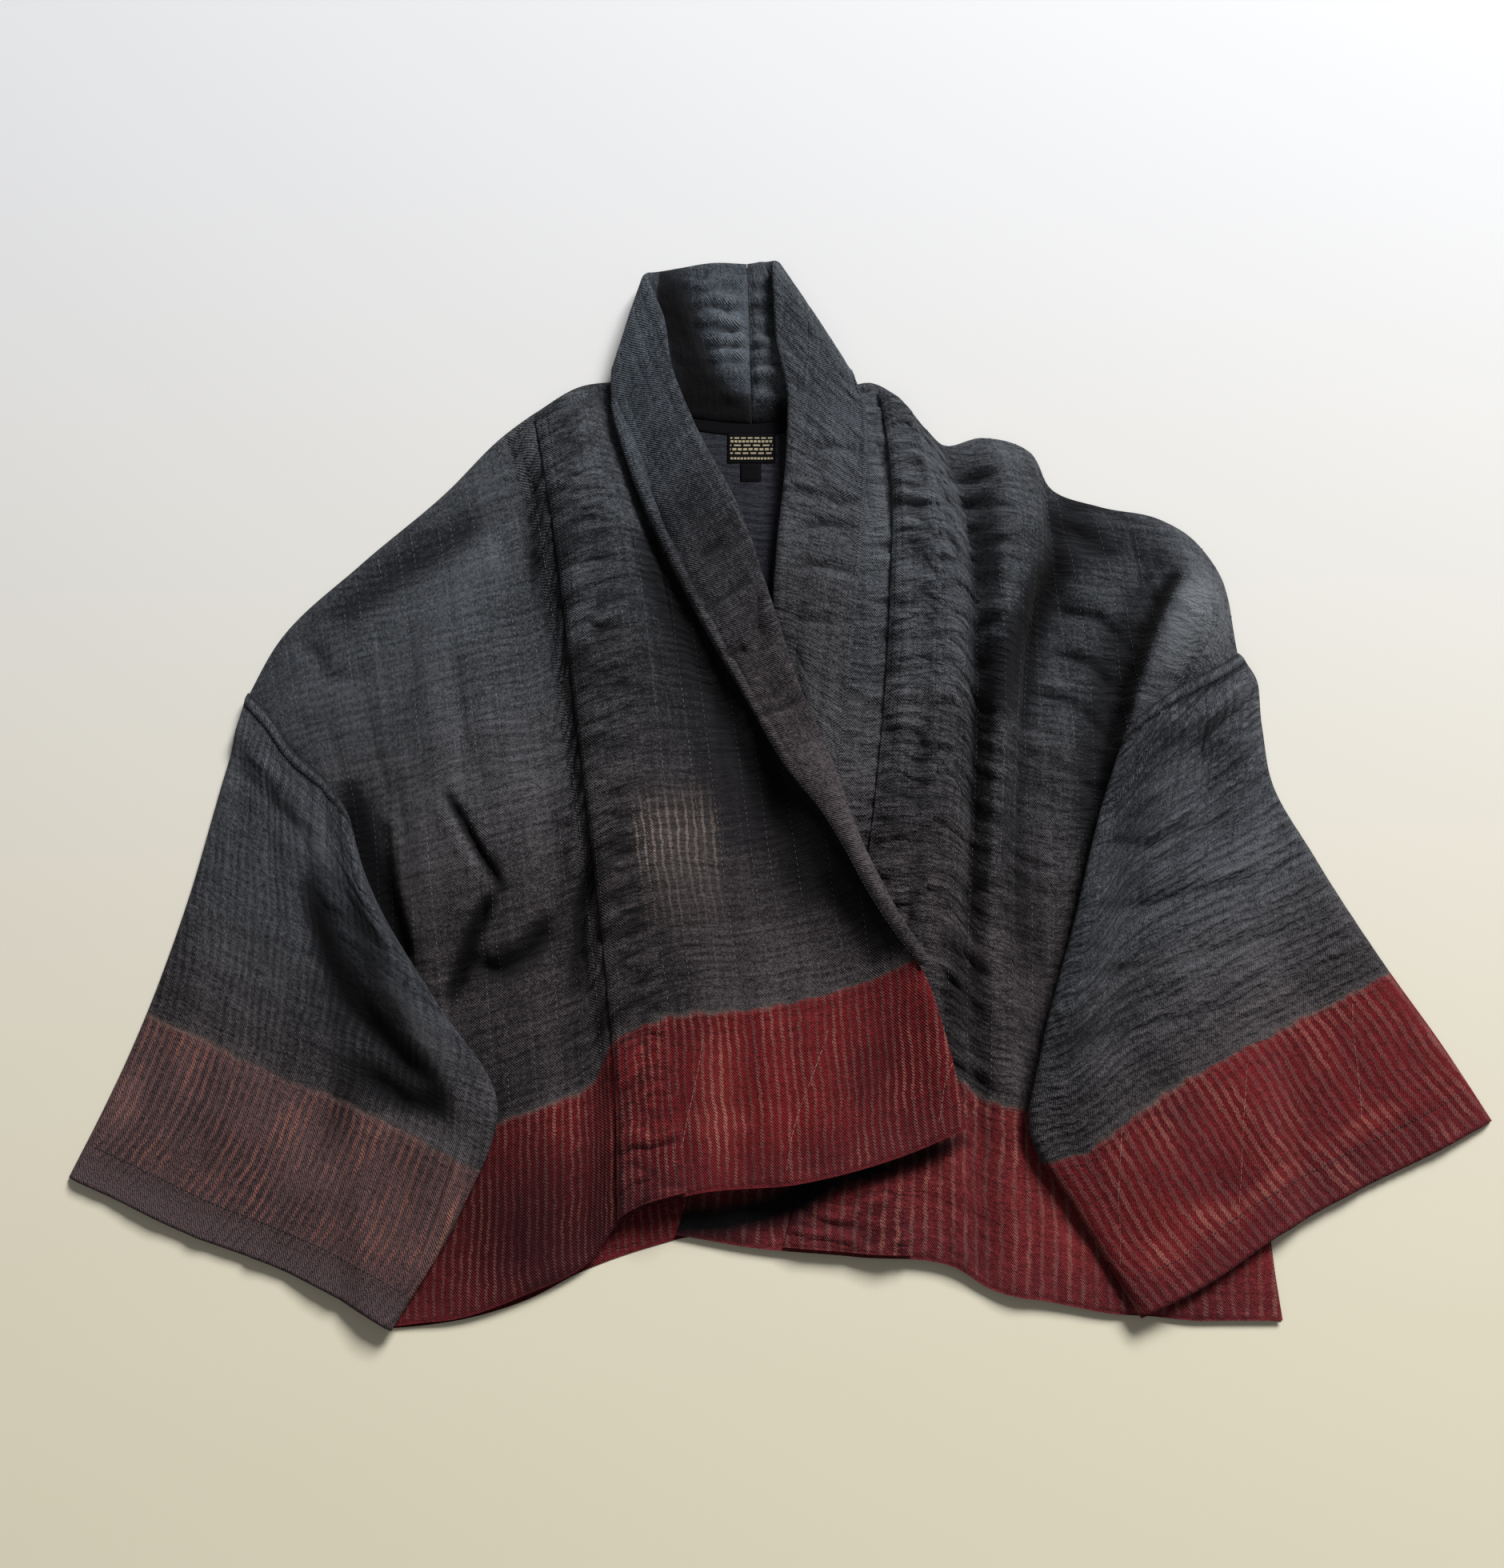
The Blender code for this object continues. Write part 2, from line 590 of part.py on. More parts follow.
def lay_collar(name, table, pile, material, collection):
    """Lays half of the shawl collar, from the centre back seam round the neck and down the front."""
    table = np.array(table, float)
    knot = distances((table[:, 0:3] + table[:, 3:6]) / 2)
    places = [knot[-1:]]
    for start, end, cells in zip(knot[:-1], knot[1:], COLLAR_CELLS):
        places.append(np.linspace(start, end, cells, endpoint=False))
    band = curve_at(table, knot, np.sort(np.concatenate(places)))
    share = np.array(COLLAR_SHARES)[None, :, None]
    centre = band[:, None, 0:3] * (1 - share) + band[:, None, 3:6] * share
    rests = np.clip(band[:, None, 6], 0.0, 1.0)
    lowest = pile.under(centre, COLLAR_REACH, COLLAR_EASE) + LAID_GAP + TUBE / 2
    centre[..., 2] += np.maximum(0.0, lowest - centre[..., 2]) * rests
    thickness = TUBE * np.array(COLLAR_THICKNESS)[None, :] * np.ones((len(band), 1))
    pile.add(add_flat_tube(name, centre, thickness, material, collection))


def add_tag(name, size, material, collection):
    """A small woven tag lying flat on the inside of the back panel."""
    bpy.ops.mesh.primitive_cube_add(size=1.0)
    tag = bpy.context.object
    tag.name = name
    tag.data.name = name
    tag.scale = (size["width"] * MM, size["height"] * MM, size["wall"] * MM)
    tag.location = (
        (size["x"] + size["width"] / 2) * MM,
        (size["y"] + size["height"] / 2) * MM,
        (WALL + LAID_GAP + size["wall"] / 2) * MM,
    )
    bpy.ops.object.transform_apply(location=False, rotation=False, scale=True)
    tag.data.materials.append(material)
    for other in list(tag.users_collection):
        other.objects.unlink(tag)
    collection.objects.link(tag)


def clear_scene():
    for obj in list(bpy.data.objects):
        bpy.data.objects.remove(obj, do_unlink=True)


def main():
    clear_scene()
    jacket = bpy.data.collections.new("Kimono jacket")
    bpy.context.scene.collection.children.link(jacket)
    body = cloth_material("body cloth", CHARCOAL, CLOTH_ROUGHNESS)
    sleeve = cloth_material("sleeve cloth", SLATE, CLOTH_ROUGHNESS)
    tag = cloth_material("woven tag", BLACK, SATIN_ROUGHNESS)
    pile = Pile()

    lay_back("back_panel", pile, body, jacket)
    add_tag("neck_label", NECK_LABEL, tag, jacket)
    add_tag("size_tab", SIZE_TAB, tag, jacket)

    left = lay_front("left_front", LEFT_FRONT, LEFT_FRONT_CELLS, pile, body, jacket)
    lay_tuck("left_tuck", left, LEFT_TUCK_COLUMNS, pile, body, jacket)
    lay_collar("left_collar", LEFT_COLLAR, pile, body, jacket)

    right = lay_front("right_front", RIGHT_FRONT, RIGHT_FRONT_CELLS, pile, body, jacket)
    lay_tuck("right_tuck", right, RIGHT_TUCK_COLUMNS, pile, body, jacket)
    lay_collar("right_collar", RIGHT_COLLAR, pile, body, jacket)

    lay_sleeve("right_sleeve", RIGHT_SLEEVE, RIGHT_SLEEVE_CELLS, RIGHT_SEAT, pile, sleeve, jacket)
    lay_sleeve("left_sleeve", LEFT_SLEEVE, LEFT_SLEEVE_CELLS, LEFT_SEAT, pile, sleeve, jacket)


main()
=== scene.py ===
import bpy
import math
import numpy as np
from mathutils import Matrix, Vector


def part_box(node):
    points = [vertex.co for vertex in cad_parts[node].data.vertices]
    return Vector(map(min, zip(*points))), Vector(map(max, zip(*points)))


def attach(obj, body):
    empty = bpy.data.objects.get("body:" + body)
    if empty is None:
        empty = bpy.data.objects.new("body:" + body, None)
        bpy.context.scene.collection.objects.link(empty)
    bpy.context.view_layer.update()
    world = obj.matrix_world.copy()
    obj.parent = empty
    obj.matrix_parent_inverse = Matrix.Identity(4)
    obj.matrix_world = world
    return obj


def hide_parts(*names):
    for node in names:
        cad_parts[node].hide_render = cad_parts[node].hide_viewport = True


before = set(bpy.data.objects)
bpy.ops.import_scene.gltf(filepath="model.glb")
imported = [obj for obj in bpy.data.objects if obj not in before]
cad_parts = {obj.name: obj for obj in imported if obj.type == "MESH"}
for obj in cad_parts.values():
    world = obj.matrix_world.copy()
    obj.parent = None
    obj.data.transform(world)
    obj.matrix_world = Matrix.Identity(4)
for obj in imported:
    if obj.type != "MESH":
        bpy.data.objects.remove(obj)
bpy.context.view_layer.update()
print("frame loaded")

# Lengths are in millimetres up to the point where a mesh is made.
mm = 0.001

cloth = {
    "wall": 2.0,
    "hollow": 0.8,  # between the two layers of a sleeve or collar
    "laidGap": 0.4,  # between a piece and what it lies on
    "edgeShare": 0.3,  # of the thickness, left at a cut or folded edge
    "edgeRoll": 4.0,  # how far in from an edge the full thickness is reached
    "reliefEdge": 9.0,  # how far in from an edge the relief is full
    "tubeBulge": 0.9,  # how far a tube's folded edge and a sheet's cut edge stand out
    "sheetBulge": 0.45,
    "innerSetback": 2.6,  # of a tube's inside, from its folded edges
    "innerHalf": 0.12,  # its least half height
    "innerBulge": 0.1,
    "shoulderRoll": 26.0,
    "leavingSeam": 30.0,  # how far below the armhole a sleeve lies freely
    "creaseShade": 0.075,  # painted shade for each millimetre of a crease's depth
    # painted shade in the puckers' troughs
    "troughShade": 0.17,
    "endFade": 0.3,  # share of a line's length over which a crease or a streak fades
    "creaseEnd": 0.35,  # and what is added to that share before it is smoothed
    "streakEnd": 0.5,
    "withinFade": 5.0,
}
cloth["tube"] = 2 * cloth["wall"] + cloth["hollow"]

raster = {"cell": 2.5, "halfX": 580.0, "halfY": 480.0, "reads": (0.0, 0.34, 0.67, 1.0)}


# Curves and grids

# The cubic through two points with the given slopes, at the share t of the step between them.
def hermite(start, end, startSlope, endSlope, step, t):
    t2 = t * t
    t3 = t2 * t
    return (
        start * (2 * t3 - 3 * t2 + 1)
        + startSlope * step * (t3 - 2 * t2 + t)
        + end * (3 * t2 - 2 * t3)
        + endSlope * step * (t3 - t2)
    )


# The slope at each point: the mean of the slopes beside it, weighted by the other side's step.
def slopesThrough(points, step):
    slope = np.diff(points, axis=-2) / step[..., None]
    before = step[..., :-1, None]
    after = step[..., 1:, None]
    inside = (slope[..., :-1, :] * after + slope[..., 1:, :] * before) / (before + after)
    return np.concatenate([slope[..., :1, :], inside, slope[..., -1:, :]], axis=-2)


# The smooth curve through points, whose distances along it are knot, at the distances where.
def curveAt(points, knot, where):
    step = np.diff(knot)
    slope = slopesThrough(points, step)
    span = np.clip(np.searchsorted(knot, where, "right") - 1, 0, len(step) - 1)
    width = step[span][:, None]
    share = (where - knot[span])[:, None] / width
    return hermite(points[span], points[span + 1], slope[span], slope[span + 1], width, share)


# How far along a row of points each one is.
def distances(points):
    step = np.linalg.norm(np.diff(points, axis=0), axis=1)
    return np.concatenate([[0.0], np.cumsum(step)])


# The smooth curve through points, at so many places with equal distances between them.
def evenlyAlong(points, count):
    points = np.asarray(points, float)
    knot = distances(points)
    return curveAt(points, knot, np.linspace(0.0, knot[-1], count))


# A piece's grid from its lines, x, y and rise: evenly down each line, then a cubic across them.
def lineGrid(lines, pitch):
    longest = max(distances(np.asarray(line, float))[-1] for line in lines.values())
    rows = round(longest / pitch) + 1
    points = np.stack([evenlyAlong(line, rows) for line in lines.values()], axis=1)
    step = np.maximum(np.linalg.norm(np.diff(points[..., :2], axis=1), axis=2), 1.0)
    slope = slopesThrough(points, step)
    columns = [points[:, 0]]
    for i in range(points.shape[1] - 1):
        count = max(2, round(step[:, i].mean() / pitch))
        for k in range(1, count + 1):
            ends = points[:, i], points[:, i + 1], slope[:, i], slope[:, i + 1]
            columns.append(hermite(*ends, step[:, i, None], k / count))
    return np.stack(columns, axis=1)


# 0 at an edge and 1 from the radius inwards, on a quarter circle.
def rounded(distance, radius):
    inward = np.clip(distance / radius, 0.0, 1.0)
    return np.sqrt(1 - (1 - inward) ** 2)


# t * t * (3 - 2 * t), for t kept from 0 to 1.
def smooth(t):
    t = np.clip(t, 0.0, 1.0)
    return t * t * (3 - 2 * t)


# exp(-t * t)
def bell(t):
    return np.exp(-(t ** 2))


# The share of the full thickness: share at an edge, and 1 from the roll's width inwards.
def thinned(distance, share, roll):
    return share + (1 - share) * rounded(distance, roll)


# How far each point is from the first row, along its column.
def fromFirstRow(grid):
    step = np.linalg.norm(np.diff(grid[..., :2], axis=0), axis=2)
    return np.concatenate([np.zeros((1, grid.shape[1])), np.cumsum(step, axis=0)])


def fromSides(grid):
    turned = np.swapaxes(grid, 0, 1)
    return np.minimum(fromFirstRow(turned), fromFirstRow(turned[::-1])[::-1]).T


def fromEnds(grid):
    return np.minimum(fromFirstRow(grid), fromFirstRow(grid[::-1])[::-1])


def fromEdges(grid):
    return np.minimum(fromSides(grid), fromEnds(grid))


# The cross product of the grid's two directions, turned upwards on the whole.
def normals(grid):
    normal = np.cross(np.gradient(grid, axis=1), np.gradient(grid, axis=0))
    normal /= np.maximum(np.linalg.norm(normal, axis=2, keepdims=True), 1e-9)
    return normal * np.where(normal[..., 2:].mean() < 0, -1.0, 1.0)


# Where each point is in the cloth: u across it from the grain line, v up from the hem or cuff.
def clothPlace(grid, grainShare):
    column = round(grainShare * (grid.shape[1] - 1))
    across = fromFirstRow(np.swapaxes(grid, 0, 1)).T
    down = fromFirstRow(grid)
    return across - across[:, column:column + 1], down[-1:] - down


# The field at fractions of its rows and columns, weighted between the four cells round each place.
# A field that repeats is read on past its ends, with smoothed weights.
def readBetween(field, row, column, repeats=False):
    low, left = np.floor(row).astype(int), np.floor(column).astype(int)
    rows, columns = field.shape[:2]
    if repeats:
        weights = smooth(row - low), smooth(column - left)
    else:
        low, left = np.clip(low, 0, rows - 2), np.clip(left, 0, columns - 2)
        weights = row - low, column - left
    up, across = (t.reshape(t.shape + (1,) * (field.ndim - 2)) for t in weights)
    low, left, high, right = low % rows, left % columns, (low + 1) % rows, (left + 1) % columns
    nearer = field[low, left] * (1 - across) + field[low, right] * across
    further = field[high, left] * (1 - across) + field[high, right] * across
    return nearer * (1 - up) + further * up


# Smooth random values from -1 to 1: random numbers on a lattice of cellU by cellV.
def softNoise(u, v, cellU, cellV, seed):
    size = 128
    lattice = np.random.default_rng(seed).uniform(-1, 1, (size, size))
    return readBetween(lattice, v / cellV + size / 2, u / cellU + size / 2, True)


# How far points are from a line through the given places, and the share of it that is nearest.
def fromLine(grid, line):
    line = np.array(line, float)
    along = distances(line)
    best = np.full(grid.shape[:2], 1e9)
    share = np.zeros(grid.shape[:2])
    for k in range(len(line) - 1):
        way = line[k + 1] - line[k]
        offset = grid[..., :2] - line[k]
        t = np.clip((offset @ way) / (way @ way), 0, 1)
        far = np.linalg.norm(offset - t[..., None] * way, axis=2)
        nearer = far < best
        best = np.where(nearer, far, best)
        share = np.where(nearer, (along[k] + t * (along[k + 1] - along[k])) / along[-1], share)
    return best, share


# Where a crease or a patch counts: all over, or only within so far of the grain's top end.
def within(reach, v):
    return smooth((v - v.max() + reach[0]) / cloth["withinFade"]) if reach else 1.0


def fadedEnds(share, added):
    return smooth(np.minimum(share, 1 - share) / cloth["endFade"] + added)


# The listed creases, each a line, a width and a height, and some a reach to stay within:
# height * exp(-(distance / width) ** 2), fading towards both ends.
def creaseField(grid, v, creases):
    field = np.zeros(grid.shape[:2])
    for line, width, height, *reach in creases:
        far, share = fromLine(grid, line)
        fade = fadedEnds(share, cloth["creaseEnd"]) * within(reach, v)
        field += height * bell(far / width) * fade
    return field


# How dyed or faded the cloth is, plus painted shade and highlight. Patches are a place, a size
# along x and y and a tone, tone * exp(-(x / sizeX) ** 2 - (y / sizeY) ** 2). Streaks are a line,
# a width and a tone, tone * exp(-(distance / width) ** 2). Creases and troughs get painted shade.
def dyeAndShadeField(grid, v, settings, creased, trough):
    field = cloth["creaseShade"] * np.minimum(creased, 0.0) - cloth["troughShade"] * trough
    for place, size, tone, *reach in settings["dye"]:
        if isinstance(place, list):
            far, share = fromLine(grid, place)
            patch = bell(far / size) * fadedEnds(share, cloth["streakEnd"])
        else:
            x, y = ((grid[..., k] - place[k]) / size[k] for k in (0, 1))
            patch = bell(x) * bell(y)
        field += tone * patch * within(reach, v)
    return field


# What the relief of every quilted piece shares. Each cell is a noise's size along u and v.
quilted = {
    "wander": 9.0, "wanderCell": (55.0, 60.0),  # how the puckers drift along the grain
    "coarse": 0.8, "fine": 0.4, "fineLean": 0.3, "fineLength": 0.5, "finePitch": 0.55,
    "troughEdge": 4,
    "ribWaver": 0.35, "ribWaverCell": (40.0, 30.0), "ribPatchCell": (60.0, 80.0),
    "foldLean": 0.06, "foldLength": 150.0, "foldEdge": 5,
    "dentCell": (34.0, 46.0),
    "borderTop": 95.0, "borderFade": 60.0,
}


# The quilting's own relief. Puckers lie across the grain: coarse and fine noise, less a narrow
# trough (1 - abs(noise)) ** 4 where the coarse one changes sign, higher near the stitched lines.
# Soft ribs sin(2 * pi * u / pitch) and long folds run along the grain, with broad dents under them
# all. The troughs and how gathered the cloth is are given back as well.
def reliefField(u, v, relief, seed):
    border = relief["borderShare"]
    above = smooth((v - quilted["borderTop"]) / quilted["borderFade"])
    near = gatherField(u, relief) * (border + (1 - border) * above)
    length, pitch = relief["puckerLength"], relief["puckerPitch"]
    wander = v + quilted["wander"] * softNoise(u, v, *quilted["wanderCell"], seed + 5)
    coarse = softNoise(u, wander, length, pitch, seed)
    leaning = u + quilted["fineLean"] * v
    length, pitch = length * quilted["fineLength"], pitch * quilted["finePitch"]
    fine = softNoise(leaning, wander, length, pitch, seed + 1)
    trough = (1 - np.abs(coarse)) ** quilted["troughEdge"]
    puckers = quilted["coarse"] * coarse + quilted["fine"] * fine - trough
    waver = softNoise(u, v, *quilted["ribWaverCell"], seed + 2)
    waver *= relief["ribPitch"] * quilted["ribWaver"]
    ribs = np.sin(2 * np.pi * (u + waver) / relief["ribPitch"])
    patches = 0.5 + 0.5 * softNoise(u, v, *quilted["ribPatchCell"], seed + 3)
    leaning = u + quilted["foldLean"] * v
    folds = softNoise(leaning, v, relief["foldPitch"], quilted["foldLength"], seed + 6)
    dents = softNoise(u, v, *quilted["dentCell"], seed + 4)
    height = (
        relief["pucker"] * puckers * near
        + relief["rib"] * ribs * patches
        + relief["fold"] * (folds - (1 - np.abs(folds)) ** quilted["foldEdge"])
        + relief["dent"] * dents
        + relief["lift"]
    )
    return height, trough * near, near


# How gathered the cloth is: its rest value, and more round each stitched line.
def gatherField(u, relief):
    near = np.full(u.shape, relief["rest"])
    for line in relief.get("gatheredAt", []):
        near += relief["gathered"] * bell((u - line) / relief["gatherWidth"])
    return near


# The pile: the highest point of what has been laid so far, over a raster of the plan

pileTop = np.zeros((int(2 * raster["halfY"] / raster["cell"]),
                    int(2 * raster["halfX"] / raster["cell"])))


# Each cell becomes the highest or the mean, as pick says, of the cells within reach along x and y.
def spread(field, reach, pick):
    for axis in (0, 1):
        margin = [(0, 0), (0, 0)]
        margin[axis] = (reach, reach)
        padded = np.pad(field, margin, mode="edge")
        size = field.shape[axis]
        field = pick(
            [np.take(padded, range(k, k + size), axis=axis) for k in range(2 * reach + 1)], axis=0
        )
    return field


# Raises the pile to a surface, read at 4 by 4 places in each cell of its grid.
def addToPile(surface):
    a, b = surface[:-1, :-1], surface[:-1, 1:]
    c, d = surface[1:, :-1], surface[1:, 1:]
    for s in raster["reads"]:
        for t in raster["reads"]:
            point = (a * (1 - s) + b * s) * (1 - t) + (c * (1 - s) + d * s) * t
            column = np.floor((point[..., 0] + raster["halfX"]) / raster["cell"]).astype(int)
            row = np.floor((point[..., 1] + raster["halfY"]) / raster["cell"]).astype(int)
            np.maximum.at(pileTop, (row, column), point[..., 2])


# The height to clear at each point: the highest within reach, eased a little further out.
def pileUnder(grid, reach, ease):
    easeCells = max(1, round(ease / raster["cell"]))
    reachCells = round(reach / raster["cell"]) + easeCells
    field = spread(spread(pileTop, reachCells, np.max), easeCells, np.mean)
    column = (grid[..., 0] + raster["halfX"]) / raster["cell"] - 0.5
    row = (grid[..., 1] + raster["halfY"]) / raster["cell"] - 0.5
    return readBetween(field, row, column)


# Meshes

# Four-sided faces between the points of a grid; around joins the last column to the first one.
def gridFaces(rows, columns, around, first):
    index = np.arange(rows * columns).reshape(rows, columns) + first
    here = index if around else index[:, :-1]
    following = np.roll(index, -1, axis=1) if around else index[:, 1:]
    return np.stack([here[:-1], following[:-1], following[1:], here[1:]], axis=-1).reshape(-1, 4)


# A mesh in metres from points in millimetres. marks holds each point's u, v, gather and dye, the
# dye carrying painted shade and highlight as well.
def addPiece(name, points, faces, marks, material):
    mesh = bpy.data.meshes.new(name)
    mesh.from_pydata((points * mm).tolist(), [], faces)
    loopPoint = np.empty(len(mesh.loops), np.int32)
    mesh.loops.foreach_get("vertex_index", loopPoint)
    layer = mesh.uv_layers.new(name="Cloth")
    layer.data.foreach_set("uv", (marks[loopPoint, :2] * mm).astype(np.float32).ravel())
    for k, label in ((2, "Gather"), (3, "DyeAndShade")):
        attribute = mesh.attributes.new(label, "FLOAT", "POINT")
        attribute.data.foreach_set("value", marks[:, k].astype(np.float32))
    mesh.materials.append(material)
    mesh.shade_smooth()
    obj = bpy.data.objects.new(name, mesh)
    bpy.context.scene.collection.objects.link(obj)
    mesh.calc_loop_triangles()
    corner = np.empty(len(mesh.loop_triangles) * 3, np.int32)
    mesh.loop_triangles.foreach_get("vertices", corner)
    a, b, c = (points[corner.reshape(-1, 3)[:, k]] for k in range(3))
    if (a * np.cross(b, c)).sum() < 0:
        mesh.flip_normals()
    print(f"  {name}: {len(mesh.loop_triangles)} triangles, {points[:, 2].max():.1f} mm high")
    return obj


# Closed rings, a row each: the upper layer, an edge, the lower layer and the other edge. The layers
# are centre +- normal * half, and each edge stands out sideways by bulge.
def ringsRound(centre, half, bulge):
    side = np.stack([centre[:, 0] - centre[:, 1], centre[:, -1] - centre[:, -2]], axis=1)
    side /= np.maximum(np.linalg.norm(side, axis=2, keepdims=True), 1e-9)
    upper = centre + normals(centre) * half[..., None]
    lower = centre - normals(centre) * half[..., None]
    first = (upper[:, :1] + lower[:, :1]) / 2 + side[:, :1] * bulge
    last = (upper[:, -1:] + lower[:, -1:]) / 2 + side[:, 1:] * bulge
    return np.concatenate([upper, last, lower[:, ::-1], first], axis=1), upper, side


def ringMarks(marks):
    return np.concatenate([marks, marks[:, -1:], marks[:, ::-1], marks[:, :1]], axis=1)


# One layer: rings round it, closed by a strip at the first and the last row.
def sheetShell(name, centre, thickness, marks, material):
    rings, upper = ringsRound(centre, thickness / 2, cloth["sheetBulge"])[:2]
    rows, count = rings.shape[:2]
    columns = centre.shape[1]
    faces = gridFaces(rows, count, True, 0).tolist()
    k = np.arange(columns - 1)
    for base, turn in ((0, -1), ((rows - 1) * count, 1)):
        top = base + k
        low = base + 2 * columns - k
        strip = np.stack([top, low, low - 1, top + 1], axis=1)[:, ::turn]
        firstEnd = [base, base + count - 1, base + 2 * columns]
        lastEnd = [base + columns - 1, base + columns + 1, base + columns]
        faces += strip.tolist() + np.array([firstEnd, lastEnd])[:, ::turn].tolist()
    ringed = ringMarks(marks).reshape(-1, 4)
    return addPiece(name, rings.reshape(-1, 3), faces, ringed, material), upper


# Two layers joined along both long edges and open at both ends, as a flattened tube.
def tubeShell(name, centre, thickness, marks, material):
    half = thickness / 2
    outer, upper, side = ringsRound(centre, half, cloth["tubeBulge"])
    inset = centre.copy()
    inset[:, 0] -= side[:, 0] * cloth["innerSetback"]
    inset[:, -1] -= side[:, 1] * cloth["innerSetback"]
    innerHalf = np.maximum(half - cloth["wall"], cloth["innerHalf"])
    inner = ringsRound(inset, innerHalf, cloth["innerBulge"])[0]
    rows, count = outer.shape[:2]
    size = rows * count
    near = np.arange(count)
    far = near + (rows - 1) * count
    nearCap = np.stack([near, near + size, np.roll(near, -1) + size, np.roll(near, -1)], axis=1)
    farCap = np.stack([np.roll(far, -1), np.roll(far, -1) + size, far + size, far], axis=1)
    outside, inside = gridFaces(rows, count, True, 0), gridFaces(rows, count, True, size)[:, ::-1]
    faces = np.concatenate([outside, inside, nearCap, farCap])
    points = np.concatenate([outer.reshape(-1, 3), inner.reshape(-1, 3)])
    ringed = np.tile(ringMarks(marks).reshape(-1, 4), (2, 1))
    return addPiece(name, points, faces.tolist(), ringed, material), upper


# Shader nodes

def addNode(tree, kind, **values):
    node = tree.nodes.new(kind)
    for key, value in values.items():
        setattr(node, key, value)
    return node


# A number or a colour is set on the socket itself, and an output is linked to it.
def plug(tree, source, node, socket):
    if isinstance(source, (int, float, tuple)):
        node.inputs[socket].default_value = source
    else:
        tree.links.new(source, node.inputs[socket])


# A node with what sockets gives for each of its sockets.
def fedNode(tree, kind, sockets, **values):
    node = addNode(tree, kind, **values)
    for socket, source in sockets.items():
        plug(tree, source, node, socket)
    return node


def fedGroup(tree, group, sockets):
    return fedNode(tree, "ShaderNodeGroup", sockets, node_tree=group).outputs


def mathNode(tree, operation, a, b=0.0, clamp=False):
    node = fedNode(tree, "ShaderNodeMath", {0: a, 1: b}, operation=operation, use_clamp=clamp)
    return node.outputs[0]


def plus(tree, a, b, clamp=False):
    return mathNode(tree, "ADD", a, b, clamp)


def minus(tree, a, b):
    return mathNode(tree, "SUBTRACT", a, b)


def times(tree, a, b, clamp=False):
    return mathNode(tree, "MULTIPLY", a, b, clamp)


# value * amount + base
def scaled(tree, value, amount, base):
    return plus(tree, times(tree, value, amount), base)


# abs(value - middle)
def farFrom(tree, value, middle):
    return mathNode(tree, "ABSOLUTE", minus(tree, value, middle))


# sin(2 * pi * value / pitch)
def waveNode(tree, value, pitch=1.0):
    return mathNode(tree, "SINE", times(tree, value, 2 * math.pi / pitch))


# The value's share of the way from low to high, smoothed; it falls where low is the greater.
def stepNode(tree, value, low, high):
    start, end = (1.0, 0.0) if low > high else (0.0, 1.0)
    sockets = {
        "Value": value, "From Min": min(low, high), "From Max": max(low, high),
        "To Min": start, "To Max": end,
    }
    node = fedNode(tree, "ShaderNodeMapRange", sockets, interpolation_type="SMOOTHSTEP")
    return node.outputs["Result"]


def mixNode(tree, share, a, b):
    node = fedNode(tree, "ShaderNodeMix", {0: share, 6: a, 7: b}, data_type="RGBA")
    return node.outputs[2]


# Noise read at the cloth's u and v, each stretched by its own scale a metre. Wherever a noise is
# given as four numbers, they are these two scales, the detail and the shift.
def noiseNode(tree, vector, scaleU, scaleV, detail=2.0, shift=0.0):
    scale, place = (scaleU, scaleV, 1.0), (shift, shift * 0.7, shift)
    mapping = fedNode(
        tree, "ShaderNodeMapping", {"Vector": vector, "Scale": scale, "Location": place}
    )
    sockets = {"Vector": mapping.outputs[0], "Scale": 1.0, "Detail": detail}
    return fedNode(tree, "ShaderNodeTexNoise", sockets).outputs[0]


# (noise - 0.5) * amount
def driftNode(tree, vector, noise, amount):
    return times(tree, minus(tree, noiseNode(tree, vector, *noise), 0.5), amount)


def bumpNode(tree, height, strength, distance, under=None):
    sockets = {"Height": height, "Strength": strength, "Distance": distance}
    if under is not None:
        sockets["Normal"] = under
    return fedNode(tree, "ShaderNodeBump", sockets).outputs[0]


def attributeNode(tree, name):
    return addNode(tree, "ShaderNodeAttribute", attribute_name=name).outputs["Fac"]


def uAndV(tree, vector):
    outputs = fedNode(tree, "ShaderNodeSeparateXYZ", {0: vector}).outputs
    return outputs[0], outputs[1]


# A node group. Its inputs are numbers with the given values, or a vector where that is None.
def newGroup(name, inputs, outputs):
    group = bpy.data.node_groups.new(name, "ShaderNodeTree")
    for label, value in inputs.items():
        kind = "NodeSocketVector" if value is None else "NodeSocketFloat"
        socket = group.interface.new_socket(label, in_out="INPUT", socket_type=kind)
        if value is not None:
            socket.default_value = value
    for label in outputs:
        group.interface.new_socket(label, in_out="OUTPUT", socket_type="NodeSocketFloat")
    given = addNode(group, "NodeGroupInput").outputs
    return group, given, addNode(group, "NodeGroupOutput")


# A material, its node tree and the cloth's own u and v.
def newMaterial(name):
    material = bpy.data.materials.new(name)
    material.use_nodes = True
    tree = material.node_tree
    return material, tree, addNode(tree, "ShaderNodeUVMap", uv_map="Cloth").outputs[0]


def dress(tree, sockets):
    for socket, source in sockets.items():
        plug(tree, source, tree.nodes["Principled BSDF"], socket)


